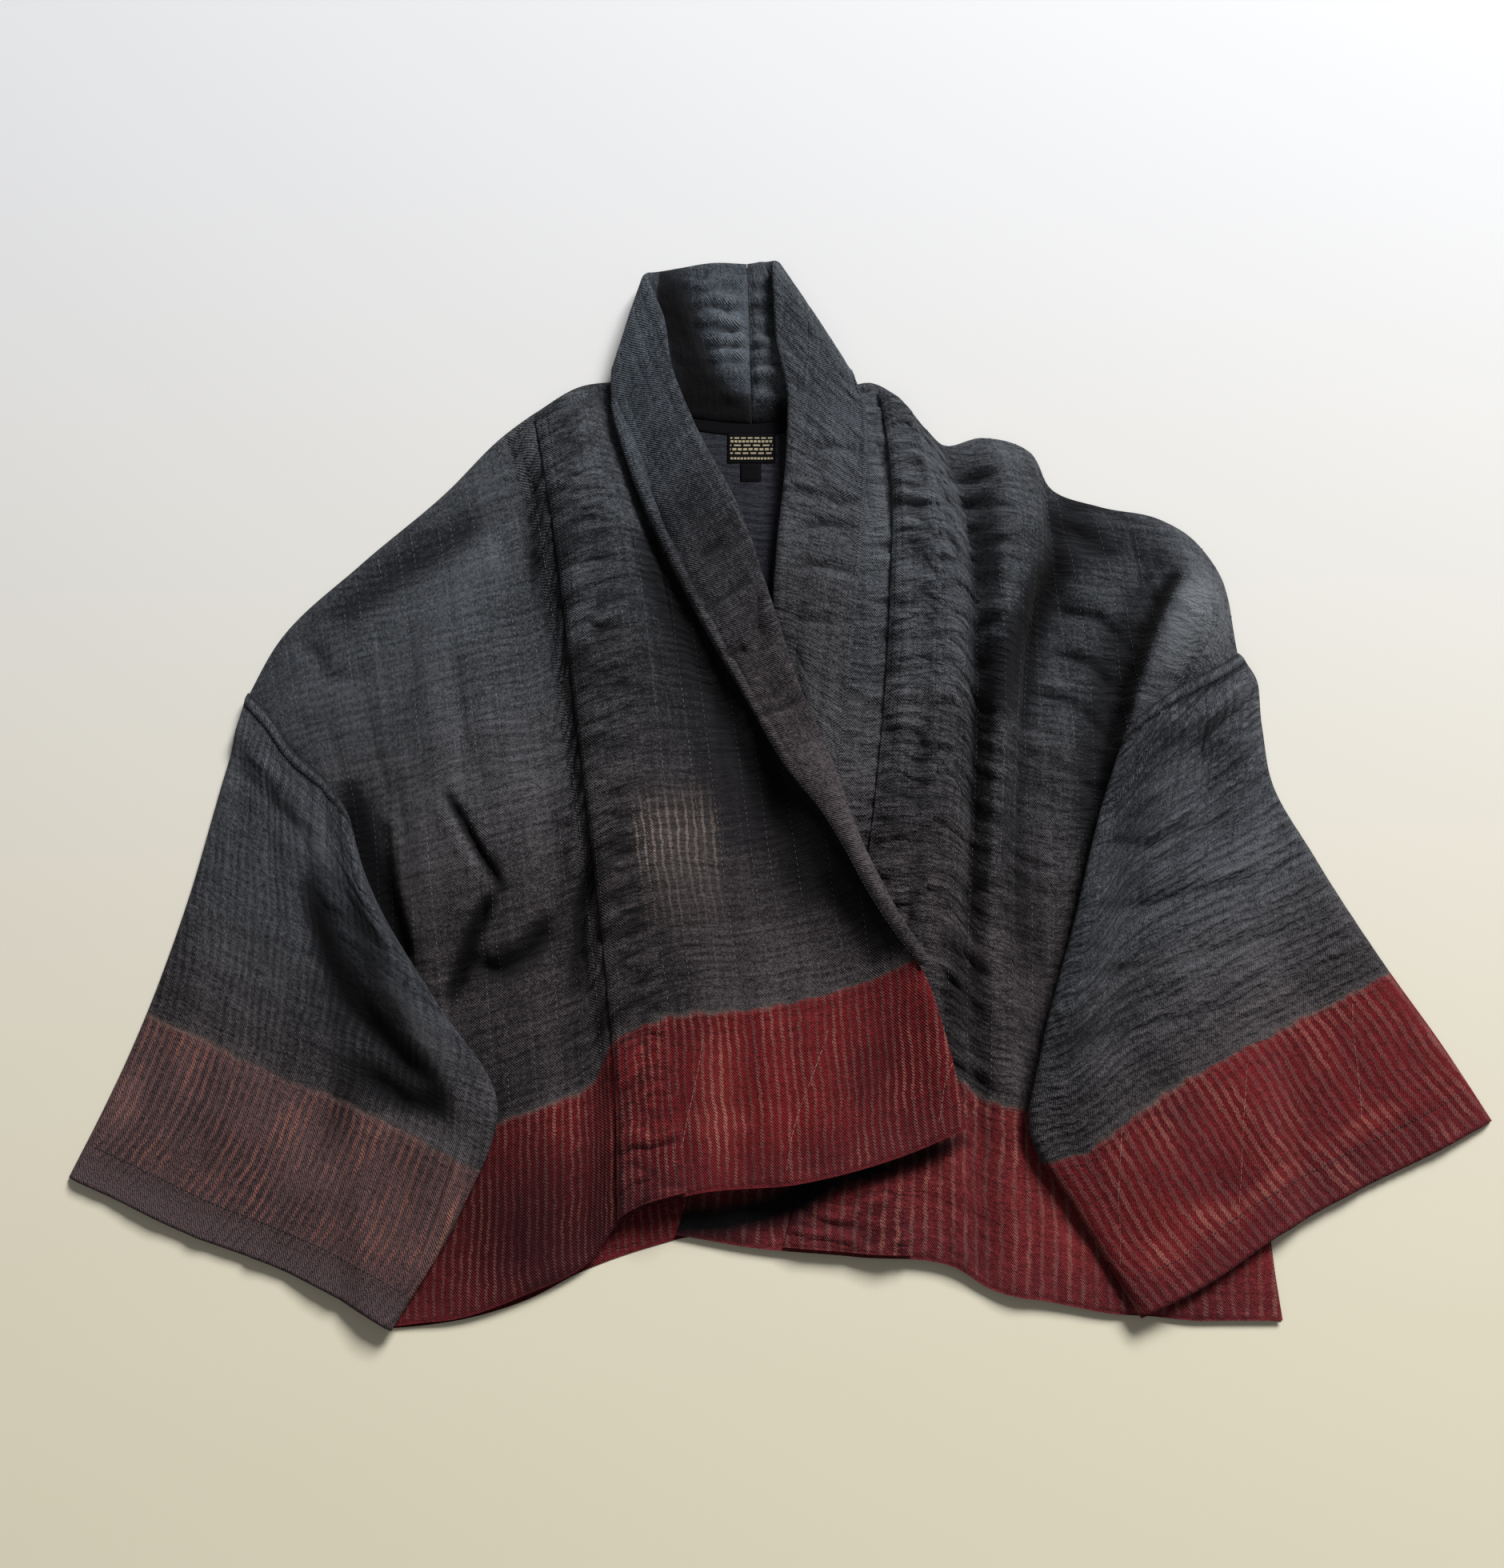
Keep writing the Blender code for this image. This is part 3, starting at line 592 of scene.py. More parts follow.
weave = {
    "twillLean": 0.8, "twillPitch": 0.0017, "twillTone": 0.18, "twillHeight": 0.3,
    "middle": 0.45,  # the tone of undyed, even cloth
    "warp": (230.0, 6.0, 2.0, 4.0),
    "weft": (13.0, 230.0, 2.0, 9.0),
    "crease": (46.0, 175.0, 3.0, 14.0), "creaseEdge": 3.0,
    "noises": {  # each with how much it counts in the tone
        "speckle": ((620.0, 540.0, 3.0, 0.0), 2.1),
        "heather": ((260.0, 190.0, 3.0, 12.0), 1.05),
        "drift": ((13.0, 9.0, 4.0, 2.0), 1.1),
        "panes": ((26.0, 2.2, 1.0, 6.0), 0.35),
        "bars": ((2.0, 24.0, 1.0, 8.0), 0.4),
    },
}


# The weave: a fine diagonal twill, threads that run thick and thin both ways, heathered yarn and a
# slow drift of the dye. Tone goes from 0, dark, to 1, pale, and takes in the dye input with its
# painted shade and highlight. Height is the threads' relief and Crinkle the short creases across
# the grain, (1 - abs(2 * noise - 1)) ** 3, that quilting leaves.
def makeWeaveGroup():
    group, given, made = newGroup(
        "woven twill", {"Place": None, "Slub": 0.5, "DyeAndShade": 0.0}, ["Tone", "Height", "Crinkle"]
    )
    place = given["Place"]
    u, v = uAndV(group, place)
    diagonal = plus(group, u, times(group, v, weave["twillLean"]))
    twill = waveNode(group, diagonal, weave["twillPitch"])
    warp, weft = (noiseNode(group, place, *weave[way]) for way in ("warp", "weft"))
    slub = times(group, minus(group, plus(group, warp, weft), 1.0), given["Slub"])
    tone = plus(group, plus(group, given["DyeAndShade"], weave["middle"]), slub)
    found = {}
    for part, (noise, amount) in weave["noises"].items():
        found[part] = noiseNode(group, place, *noise)
        tone = plus(group, tone, times(group, minus(group, found[part], 0.5), amount))
    tone = plus(group, tone, times(group, twill, weave["twillTone"]), True)
    height = plus(group, times(group, twill, weave["twillHeight"]), found["speckle"])
    height = plus(group, height, plus(group, found["heather"], slub))
    crease = times(group, noiseNode(group, place, *weave["crease"]), 2.0)
    crinkle = minus(group, 1.0, farFrom(group, crease, 1.0))
    plug(group, tone, made, "Tone")
    plug(group, height, made, "Height")
    plug(group, mathNode(group, "POWER", crinkle, weave["creaseEdge"]), made, "Crinkle")
    return group


stripeShape = {
    "sway": (70.0, 85.0, 3.0, 3.0),
    "slow": (9.0, 11.0, 1.0, 13.0), "slowBy": 0.012,
    "ragged": (520.0, 300.0, 3.0, 5.0), "raggedBy": 0.5,
    "edgeFrom": 0.07, "edgeTo": -0.04,
    "comes": (0.63, 26.0, 3.0, 17.0), "comesFrom": 0.30, "comesTo": 0.60,
    "comesBy": 0.65, "always": 0.35,
    "hatchLean": 0.6, "hatchPitch": 0.0024, "hatchBy": 0.30, "hatchBase": 0.70,
    "fade": (30.0, 15.0, 3.0, 11.0), "fadeFrom": 0.42, "fadeTo": 0.68,
}


# Stripes along the grain: abs(fract(u / pitch) - 0.5) against a wavering width, broken up by noise.
# Each stripe, by floor(u / pitch), comes and goes on its own, and slanting hatches cross it.
def makeStripeGroup():
    shape = stripeShape
    group, given, made = newGroup(
        "wavering stripes",
        {"Place": None, "Pitch": 0.0093, "Width": 0.13, "Waver": 0.0042},
        ["Stripe", "Fade"],
    )
    place = given["Place"]
    u, v = uAndV(group, place)
    along = plus(group, u, driftNode(group, place, shape["sway"], given["Waver"]))
    along = plus(group, along, driftNode(group, place, shape["slow"], shape["slowBy"]))
    count = mathNode(group, "DIVIDE", along, given["Pitch"])
    far = farFrom(group, mathNode(group, "FRACT", count), 0.5)
    edge = plus(group, far, driftNode(group, place, shape["ragged"], shape["raggedBy"]))
    edge = minus(group, edge, given["Width"])
    solid = stepNode(group, edge, shape["edgeFrom"], shape["edgeTo"])
    own = fedNode(group, "ShaderNodeCombineXYZ", {0: mathNode(group, "FLOOR", count), 1: v})
    comes = noiseNode(group, own.outputs[0], *shape["comes"])
    comes = stepNode(group, comes, shape["comesFrom"], shape["comesTo"])
    hatches = waveNode(group, plus(group, v, times(group, u, shape["hatchLean"])),
                       shape["hatchPitch"])
    stripe = times(group, solid, scaled(group, hatches, shape["hatchBy"], shape["hatchBase"]))
    comes = scaled(group, comes, shape["comesBy"], shape["always"])
    fade = noiseNode(group, place, *shape["fade"])
    plug(group, times(group, stripe, comes), made, "Stripe")
    plug(group, stepNode(group, fade, shape["fadeFrom"], shape["fadeTo"]), made, "Fade")
    return group


pleatShape = {
    "slow": (12.0, 12.0, 1.0, 21.0), "slowBy": 0.020,
    "quick": (60.0, 60.0, 2.0, 23.0), "quickBy": 0.005,
    "strong": (17.0, 17.0, 2.0, 25.0), "strongFrom": 0.36, "strongTo": 0.60,
    "strongBy": 0.75, "always": 0.25,
}


# Narrow pleats: sin(2 * pi * (along + waver) / pitch), strong in some places and faint in others.
def makePleatGroup():
    shape = pleatShape
    group, given, made = newGroup(
        "narrow pleats", {"Place": None, "Along": 0.0, "Pitch": 0.008}, ["Wave"]
    )
    place = given["Place"]
    where = plus(group, given["Along"], driftNode(group, place, shape["slow"], shape["slowBy"]))
    where = plus(group, where, driftNode(group, place, shape["quick"], shape["quickBy"]))
    wave = waveNode(group, mathNode(group, "DIVIDE", where, given["Pitch"]))
    strong = noiseNode(group, place, *shape["strong"])
    strong = stepNode(group, strong, shape["strongFrom"], shape["strongTo"])
    strong = scaled(group, strong, shape["strongBy"], shape["always"])
    plug(group, times(group, wave, strong), made, "Wave")
    return group


weaveGroup = makeWeaveGroup()
stripeGroup = makeStripeGroup()
pleatGroup = makePleatGroup()

bodyLook = {
    "dark": (0.0125, 0.0135, 0.0160, 1),
    "pale": (0.088, 0.094, 0.104, 1),
    "lowDark": (0.0125, 0.0108, 0.0118, 1),
    "lowPale": (0.084, 0.071, 0.073, 1),
    "turnLow": 0.22,  # v where the lower colour is full, in metres, and where the upper one is
    "turnHigh": 0.52,
    "slub": 0.55,
    "roughness": 0.88,
    "specular": 0.10, "sheen": 0.03, "sheenRoughness": 0.5,
    "grain": 0.75, "grainDepth": 0.0010,
    "crinkle": 0.7, "creaseDepth": 0.0022,
    "pleatFade": 0.012,  # over which the pleats end at a border
    # the pleats' wave is added to the tone: tint, painted shade in troughs, painted highlight on
    # crests
    "pleatAlong": "v", "pleatPitch": 0.0070, "pleatTintAndShade": 0.06, "pleatDepth": 0.22,
    "deepShade": (0.0016, 0.0012, 0.0018, 1),  # painted shade in the deepest folds and shadowed gaps
    "fadedAndLit": (0.185, 0.195, 0.205, 1),  # where it has faded most, and painted highlight on lit folds
}
crimsonBorder = {
    "height": 0.126,
    "dark": (0.055, 0.0045, 0.0062, 1),
    "pale": (0.172, 0.0115, 0.0142, 1),
    "stripe": (0.140, 0.072, 0.062, 1),
    "stripeWarm": (0.30, 0.098, 0.074, 1),
    # the turned hem: dark red, darkened further as painted shade of the rolled edge
    "hem": (0.066, 0.016, 0.021, 1),
    "hemShare": 0.25,
    "worn": (0.46, 0.185, 0.130, 1),
    "stripeStrength": 0.50,
    "width": 0.17,
    "pitch": 0.0063,
    "plainBelow": 0.003,  # the turned hem, which has no stripes
    "bleed": (0.115, 0.090, 0.078, 1),
}
mauveBorder = {
    "height": 0.126,
    "dark": (0.030, 0.019, 0.021, 1),
    "pale": (0.120, 0.068, 0.066, 1),
    "stripe": (0.175, 0.086, 0.074, 1),
    "stripeWarm": (0.300, 0.105, 0.075, 1),
    "hem": (0.096, 0.069, 0.074, 1),
    "hemShare": 0.6,
    "worn": (0.40, 0.17, 0.125, 1),
    "stripeStrength": 0.46,
    "width": 0.20,
    "pitch": 0.0068,
    "plainBelow": 0.026,
    "bleed": (0.150, 0.095, 0.080, 1),
}


# Where each sets in and how fast: painted shade, fading with painted highlight, the border's wear
shadeAndFading = {"deepShade": (-0.12, -0.85), "fadedAndLit": (0.22, 0.9), "worn": (0.12, 1.6)}


# How far the dye, with its painted shade and highlight, is past where each kind starts:
# (value - start) * rate, from 0 to 1.
def pastNode(tree, dye, kind):
    start, rate = shadeAndFading[kind]
    return times(tree, minus(tree, dye, start), rate, True)


# The share of a striped patch: full in its middle, fading to its sides and ends, weak below.
def patchShare(tree, u, v, stripe, patch):
    inside = stepNode(tree, farFrom(tree, u, patch["u"]), patch["halfU"], patch["solidU"])
    down = stepNode(tree, farFrom(tree, v, patch["v"]), patch["halfV"], patch["solidV"])
    upper = stepNode(tree, v, patch["weakBelow"], patch["fullAbove"])
    down = times(tree, down, scaled(tree, upper, 1 - patch["weak"], patch["weak"]))
    ragged = scaled(tree, stripe, patch["strength"], patch["wash"])
    return times(tree, times(tree, inside, down), ragged)


borderShape = {
    "hemFrom": 0.040, "hemTo": 0.004, "hemEdge": 0.002,
    "warmBy": 0.7, "fadeBy": 0.35, "wornBy": 0.95, "wornBase": 0.10,
    "ragged": (130.0, 60.0, 3.0, 7.0), "raggedBy": 0.007, "edge": 0.0008,
    "bleedFrom": 0.0040, "bleedTo": 0.0006, "bleedBase": 0.12,
    "ridgeEdge": 0.001, "ridge": 0.8,
}


# Below the border's height its own dye and stripes, with a ragged, slightly bleached line above.
def addBorder(tree, place, v, dye, tone, colour, height, border):
    shape = borderShape
    stripes = fedGroup(
        tree, stripeGroup, {"Place": place, "Width": border["width"], "Pitch": border["pitch"]}
    )
    red = mixNode(tree, tone, border["dark"], border["pale"])
    hem = times(tree, stepNode(tree, v, shape["hemFrom"], shape["hemTo"]), border["hemShare"])
    red = mixNode(tree, hem, red, border["hem"])
    warm = times(tree, stripes["Fade"], shape["warmBy"])
    stripe = mixNode(tree, warm, border["stripe"], border["stripeWarm"])
    strength = scaled(tree, stripes["Fade"], shape["fadeBy"], border["stripeStrength"])
    plain = border["plainBelow"]
    above = stepNode(tree, v, plain - shape["hemEdge"], plain + shape["hemEdge"])
    strength = times(tree, strength, above)
    red = mixNode(tree, times(tree, stripes["Stripe"], strength), red, stripe)
    rough = scaled(tree, stripes["Stripe"], shape["wornBy"], shape["wornBase"])
    red = mixNode(tree, times(tree, pastNode(tree, dye, "worn"), rough), red, border["worn"])
    ragged = driftNode(tree, place, shape["ragged"], shape["raggedBy"])
    edge = minus(tree, plus(tree, v, ragged), border["height"])
    near = mathNode(tree, "ABSOLUTE", edge)
    bleed = stepNode(tree, near, shape["bleedFrom"], shape["bleedTo"])
    bleed = times(tree, bleed, scaled(tree, stripes["Fade"], shape["fadeBy"], shape["bleedBase"]))
    colour = mixNode(tree, stepNode(tree, edge, shape["edge"], -shape["edge"]), colour, red)
    colour = mixNode(tree, bleed, colour, border["bleed"])
    below = stepNode(tree, edge, shape["ridgeEdge"], -shape["ridgeEdge"])
    ridge = times(tree, times(tree, stripes["Stripe"], below), shape["ridge"])
    return colour, plus(tree, height, ridge)


# A cloth material: the weave and its pleats, the lower colour turning to the upper one, the faded
# patch, fading with painted highlight, the border, and painted shade in the darkest folds.
def makeCloth(name, look, border=None, patch=None):
    material, tree, place = newMaterial(name)
    u, v = uAndV(tree, place)
    dye, gather = attributeNode(tree, "DyeAndShade"), attributeNode(tree, "Gather")
    woven = fedGroup(tree, weaveGroup, {"Place": place, "Slub": look["slub"], "DyeAndShade": dye})
    along = u if look["pleatAlong"] == "u" else v
    pleats = {"Place": place, "Along": along, "Pitch": look["pleatPitch"]}
    wave = fedGroup(tree, pleatGroup, pleats)["Wave"]
    if border and look["pleatAlong"] == "v":
        low, high = border["height"] - look["pleatFade"], border["height"] + look["pleatFade"]
        wave = times(tree, wave, stepNode(tree, v, low, high))
    # the pleats' tint with painted shade and highlight
    tone = plus(tree, woven["Tone"], times(tree, wave, look["pleatTintAndShade"]), True)
    high = mixNode(tree, tone, look["dark"], look["pale"])
    low = mixNode(tree, tone, look["lowDark"], look["lowPale"])
    colour = mixNode(tree, stepNode(tree, v, look["turnLow"], look["turnHigh"]), low, high)
    if patch:
        stripe = fedGroup(tree, stripeGroup, {"Place": place, "Pitch": patch["pitch"]})["Stripe"]
        colour = mixNode(tree, patchShare(tree, u, v, stripe, patch), colour, patch["colour"])
    # fading, and painted highlight where the listed patches raise the dye on lit folds
    fadedAndLit = times(tree, pastNode(tree, dye, "fadedAndLit"), tone)
    colour = mixNode(tree, fadedAndLit, colour, look["fadedAndLit"])
    height = woven["Height"]
    if border:
        colour, height = addBorder(tree, place, v, dye, tone, colour, height, border)
    colour = mixNode(tree, pastNode(tree, dye, "deepShade"), colour, look["deepShade"])
    raised = times(tree, wave, look["pleatDepth"])
    folds = minus(tree, raised, times(tree, woven["Crinkle"], gather))
    crease = bumpNode(tree, folds, look["crinkle"], look["creaseDepth"])
    dress(tree, {
        "Base Color": colour, "Roughness": look["roughness"],
        "Normal": bumpNode(tree, height, look["grain"], look["grainDepth"], crease),
        "Specular IOR Level": look["specular"],
        "Sheen Weight": look["sheen"], "Sheen Roughness": look["sheenRoughness"],
    })
    return material


rightPatch = {
    "u": 0.058, "v": 0.238, "halfU": 0.035, "halfV": 0.072,
    "solidU": 0.0245, "solidV": 0.018, "weakBelow": 0.218, "fullAbove": 0.268, "weak": 0.4,
    "pitch": 0.0064, "strength": 0.85, "wash": 0.10, "colour": (0.250, 0.195, 0.168, 1),
}
sleeveLook = dict(
    bodyLook, pleatTintAndShade=0.13, pleatDepth=0.42, pleatPitch=0.0074, turnLow=0.10, turnHigh=0.28,
    dark=(0.0135, 0.0145, 0.0175, 1), pale=(0.088, 0.093, 0.104, 1),
)
rightSleeveLook = dict(sleeveLook, pleatAlong="u", pleatPitch=0.0068, pleatTintAndShade=0.17)
insideLook = dict(
    bodyLook, dark=(0.010, 0.0105, 0.015, 1), pale=(0.034, 0.034, 0.044, 1),
    lowDark=(0.010, 0.0105, 0.015, 1), lowPale=(0.034, 0.034, 0.044, 1),
)
collarLook = dict(
    bodyLook, turnLow=0.20, turnHigh=0.50, pale=(0.080, 0.094, 0.110, 1),
    crinkle=0.45, pleatDepth=0.08, pleatTintAndShade=0.02,
)
leftCollarLook = dict(
    collarLook, turnLow=0.05, turnHigh=0.44, pale=(0.082, 0.092, 0.105, 1),
    lowPale=(0.082, 0.079, 0.083, 1),
)
leftBorder = dict(
    crimsonBorder, height=0.135, pitch=0.0098, width=0.14, stripe=(0.170, 0.096, 0.084, 1),
    dark=(0.066, 0.0065, 0.0085, 1), pale=(0.215, 0.026, 0.029, 1),
)
leftCuffBorder = dict(
    crimsonBorder, pitch=0.0078, width=0.22, stripeStrength=0.5, stripe=(0.170, 0.074, 0.072, 1)
)
rightCloth = makeCloth("right front cloth", bodyLook, crimsonBorder, rightPatch)
leftCloth = makeCloth("left front cloth", bodyLook, leftBorder)
backCloth = makeCloth("inside cloth", insideLook, dict(crimsonBorder, height=0.13))
rightCollarCloth = makeCloth("right collar cloth", collarLook)
leftCollarCloth = makeCloth("left collar cloth", leftCollarLook)
leftSleeveCloth = makeCloth("left sleeve cloth", sleeveLook, leftCuffBorder)
rightSleeveCloth = makeCloth("right sleeve cloth", rightSleeveLook, mauveBorder)
print("cloth materials made")

threadLook = {
    "colour": (0.125, 0.125, 0.132, 1), "dark": (0.035, 0.035, 0.04, 1), "roughness": 0.7,
    "tone": (55.0, 45.0, 3.0, 3.0), "toneFrom": 0.38, "toneTo": 0.62,
    "ply": (2600.0, 1800.0, 1.0, 1.0), "plyStrength": 0.4, "plyDepth": 0.0002,
}


# A thread with dark and pale stretches and a fine ply, with painted shade where its cloth has it.
def makeThread(name, look):
    material, tree, place = newMaterial(name)
    tone = noiseNode(tree, place, *look["tone"])
    tone = stepNode(tree, tone, look["toneFrom"], look["toneTo"])
    deepShade = pastNode(tree, attributeNode(tree, "DyeAndShade"), "deepShade")
    colour = mixNode(tree, deepShade, mixNode(tree, tone, look["dark"], look["colour"]),
                     bodyLook["deepShade"])
    ply = noiseNode(tree, place, *look["ply"])
    dress(tree, {
        "Base Color": colour, "Roughness": look["roughness"],
        "Normal": bumpNode(tree, ply, look["plyStrength"], look["plyDepth"]),
    })
    return material


darkThread = dict(threadLook, colour=(0.020, 0.020, 0.024, 1), dark=(0.006, 0.006, 0.008, 1))
loosePale = dict(threadLook, colour=(0.44, 0.31, 0.26, 1), dark=(0.22, 0.13, 0.11, 1))
quiltThread = makeThread("quilting thread", threadLook)
seamThread = makeThread("seam thread", darkThread)
paleThread = makeThread("loose pale thread", loosePale)


def finishPiece(piece, nodes):
    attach(piece, "root")
    if nodes:
        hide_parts(*nodes)


# Back panel

backLines = {
    "right side": [
        (-401, 48, 0), (-368, 6, 0), (-325, -38, 0), (-309, -100, 0), (-297, -230, 0),
        (-283, -406, 0),
    ],
    "right arm": [(-374, 95, 0), (-336, 30, 0), (-302, -60, 0), (-280, -230, 0), (-258, -404, 0)],
    "right shoulder": [
        (-317, 153, 0), (-292, 60, 0), (-268, -80, 0), (-250, -240, 0), (-230, -400, 0),
    ],
    "right flank": [
        (-248, 216, 0), (-232, 100, 0), (-214, -60, 0), (-196, -240, 0), (-182, -386, 0),
    ],
    "right blade": [
        (-208, 258, 0), (-192, 130, 0), (-176, -40, 0), (-160, -230, 0), (-142, -366, 0),
    ],
    "right neck": [(-124, 299, 0), (-118, 160, 0), (-112, -40, 0), (-104, -220, 0), (-96, -350, 0)],
    "right nape": [(-76, 275, 0), (-74, 120, 0), (-70, -80, 0), (-66, -240, 0), (-62, -342, 0)],
    "middle": [(-22, 268, 0), (-22, 100, 0), (-22, -100, 0), (-18, -250, 0), (-14, -346, 0)],
    "left nape": [(27, 276, 0), (40, 120, 0), (52, -80, 0), (64, -240, 0), (75, -352, 0)],
    "left neck": [(54, 297, 0), (75, 160, 0), (90, -40, 0), (104, -240, 0), (118, -362, 0)],
    "left blade": [(122, 248, 0), (132, 120, 0), (144, -60, 0), (158, -240, 0), (172, -380, 0)],
    "left fold": [(184, 248, 0), (190, 120, 0), (196, -60, 0), (202, -240, 0), (208, -388, 0)],
    "left flank": [(226, 198, 0), (234, 100, 0), (242, -60, 0), (248, -240, 0), (256, -394, 0)],
    "left shoulder": [(292, 187, 0), (292, 80, 0), (290, -80, 0), (298, -240, 0), (306, -398, 0)],
    "left side": [(344, 92, 0), (340, 0, 0), (338, -120, 0), (343, -260, 0), (354, -401, 0)],
}

back = {"pitch": 6.0, "grain": 0.5, "gather": 0.7}
backGrid = lineGrid(backLines, back["pitch"])
backU, backV = clothPlace(backGrid, back["grain"])
backThick = cloth["wall"] * thinned(fromEdges(backGrid), cloth["edgeShare"], cloth["edgeRoll"])
backGrid[..., 2] = backThick / 2
backMarks = [backU, backV, np.full(backU.shape, back["gather"]), np.zeros(backU.shape)]
backMarks = np.stack(backMarks, axis=2)
backPanel, backTop = sheetShell("back_panel_cloth", backGrid, backThick, backMarks, backCloth)
addToPile(backTop)
finishPiece(backPanel, ["back_panel"])
print("back laid")


# A front lies on the pile: z is the pile's top, the gap, the fold's rise, the listed creases and
# the quilting's relief.
def layFront(name, lines, settings, material):
    grid = lineGrid(lines, settings["pitch"])
    shape = grid.copy()
    u, v = clothPlace(shape, settings["grain"])
    roll = rounded(fromFirstRow(grid), cloth["shoulderRoll"])
    edge = fromEdges(grid)
    relief, trough, near = reliefField(u, v, settings["relief"], settings["seed"])
    creased = creaseField(grid, v, settings["creases"])
    rise = np.maximum(grid[..., 2], 0.0) + creased
    rise = np.maximum(rise * roll + relief * smooth(edge / cloth["reliefEdge"]), 0.0)
    dye = dyeAndShadeField(shape, v, settings, creased, trough)
    marks = np.stack([u, v, near, dye], axis=2)
    thick = cloth["wall"] * thinned(edge, cloth["edgeShare"], cloth["edgeRoll"])
    under = pileUnder(grid, settings["reach"], settings["ease"])
    grid[..., 2] = under + cloth["laidGap"] + rise + thick / 2
    piece, top = sheetShell(name, grid, thick, marks, material)
    addToPile(top)
    return {"piece": piece, "top": top, "u": u, "v": v, "dye": dye, "grid": grid, "marks": marks}


tuck = {
    "pitch": 1.9, "reach": 2.5, "ease": 2.5, "gap": 0.2,
    "gatherPitch": 7.5, "gatherLength": 30.0, "gatherRise": 2.1, "troughShade": 0.35,
    "wander": 5.0, "wanderCell": (18.0, 40.0), "fineLength": 13.0, "finePitch": 0.55,
    "level": 1.1, "coarse": 0.7, "fine": 0.4, "troughEdge": 4,
    "sideRoll": 8.0, "sideShare": 0.3,
    "edgeThick": 0.15, "moreThick": 0.65, "edgeRoll": 9.0,  # shares of a wall's thickness
}


# A gathered tuck lies on its front, between two of the front's columns. Its gathers are
# level + coarse and fine noise, less a trough (1 - abs(noise)) ** 4, and lower at its sides.
def layTuck(name, front, settings, material):
    columns = front["grid"].shape[1]
    first = round(settings["from"] * (columns - 1))
    last = round(settings["to"] * (columns - 1))
    rows = round(front["v"][:, first].max() / settings["pitch"])
    across = max(6, round(np.ptp(front["u"][:, first:last + 1], axis=1).mean() / settings["pitch"]))
    flat = np.concatenate([front["grid"], front["marks"]], axis=2)
    picks = np.linspace(first, last, across).round(0).astype(int)
    lines = np.stack([evenlyAlong(flat[2:-1, k], rows) for k in np.unique(picks)], axis=1)
    step = np.linspace(0, lines.shape[1] - 1, across)
    low = np.minimum(np.floor(step).astype(int), lines.shape[1] - 2)
    share = (step - low)[None, :, None]
    lines = lines[:, low] * (1 - share) + lines[:, low + 1] * share
    grid, marks = lines[..., :3].copy(), lines[..., 3:7]
    u, v = marks[..., 0], marks[..., 1]
    side = fromSides(grid)
    low = settings["sideShare"]
    middle = low + (1 - low) * smooth(side / settings["sideRoll"])
    pitch, seed = settings["gatherPitch"], settings["seed"]
    wander = v + settings["wander"] * softNoise(u, v, *settings["wanderCell"], seed + 2)
    coarse = softNoise(u, wander, settings["gatherLength"], pitch, seed)
    fine = softNoise(u, wander, settings["fineLength"], pitch * settings["finePitch"], seed + 1)
    trough = (1 - np.abs(coarse)) ** settings["troughEdge"]
    gathers = settings["level"] + settings["coarse"] * coarse + settings["fine"] * fine - trough
    gathers = np.maximum(settings["gatherRise"] * gathers, 0.0)
    marks = marks.copy()
    # painted shade in the gathers' troughs
    marks[..., 3] -= settings["troughShade"] * trough
    full = rounded(np.minimum(side, fromEnds(grid)), settings["edgeRoll"])
    thick = cloth["wall"] * (settings["edgeThick"] + settings["moreThick"] * full)
    under = pileUnder(grid, settings["reach"], settings["ease"])
    grid[..., 2] = under + settings["gap"] + gathers * middle + thick / 2
    piece, top = sheetShell(name, grid, thick, marks, material)
    addToPile(top)
    return {"piece": piece, "top": top, "u": u, "v": v, "dye": marks[..., 3], "grid": grid}


collarShape = {"edgeShare": 0.42, "edgeRoll": 5.0, "reliefEdge": 7.0, "endEdge": 8.0, "bowed": 60.0}


# Half a collar: rows from the neck seam to the free edge, bowed up by crown * sin(pi * share).
def layCollar(name, rowsTable, settings, material):
    table = np.array(rowsTable, float)
    knot = distances((table[:, 0:3] + table[:, 3:6]) / 2)
    rows = round(knot[-1] / settings["pitch"])
    band = curveAt(table, knot, np.linspace(0.0, knot[-1], rows))
    width = np.linalg.norm(band[:, 0:2] - band[:, 3:5], axis=1).max()
    share = np.linspace(0.0, 1.0, round(width / settings["pitch"]))[None, :, None]
    centre = band[:, None, 0:3] * (1 - share) + band[:, None, 3:6] * share
    wide = np.linalg.norm(band[:, 0:2] - band[:, 3:5], axis=1)[:, None]
    u = share[..., 0] * wide
    v = (knot[-1] - np.linspace(0.0, knot[-1], rows))[:, None] * np.ones_like(u)
    side = np.minimum(u, wide - u)
    relief, trough, near = reliefField(u, v, settings["relief"], settings["seed"])
    relief *= smooth(side / collarShape["reliefEdge"])
    bow = settings["crown"] * np.sin(np.pi * share[..., 0])
    bow = bow * np.minimum(wide / collarShape["bowed"], 1.0)
    rests = np.clip(band[:, None, 6], 0.0, 1.0)
    thick = cloth["tube"] * thinned(side, collarShape["edgeShare"], collarShape["edgeRoll"])
    lowest = pileUnder(centre, settings["reach"], settings["ease"]) + cloth["laidGap"] + thick / 2
    centre[..., 2] += np.maximum(0.0, lowest - centre[..., 2]) * rests
    creased = creaseField(centre, v, settings["creases"])
    extra = np.maximum(relief + creased + bow, 0.0)
    centre[..., 2] += extra * smooth(fromEnds(centre) / collarShape["endEdge"])
    dye = dyeAndShadeField(centre, v, settings, creased, trough)
    marks = np.stack([u, v, near, dye], axis=2)
    piece, top = tubeShell(name, centre, thick, marks, material)
    addToPile(top)
    return {"piece": piece, "top": top, "u": u, "v": v, "dye": dye, "grid": centre}


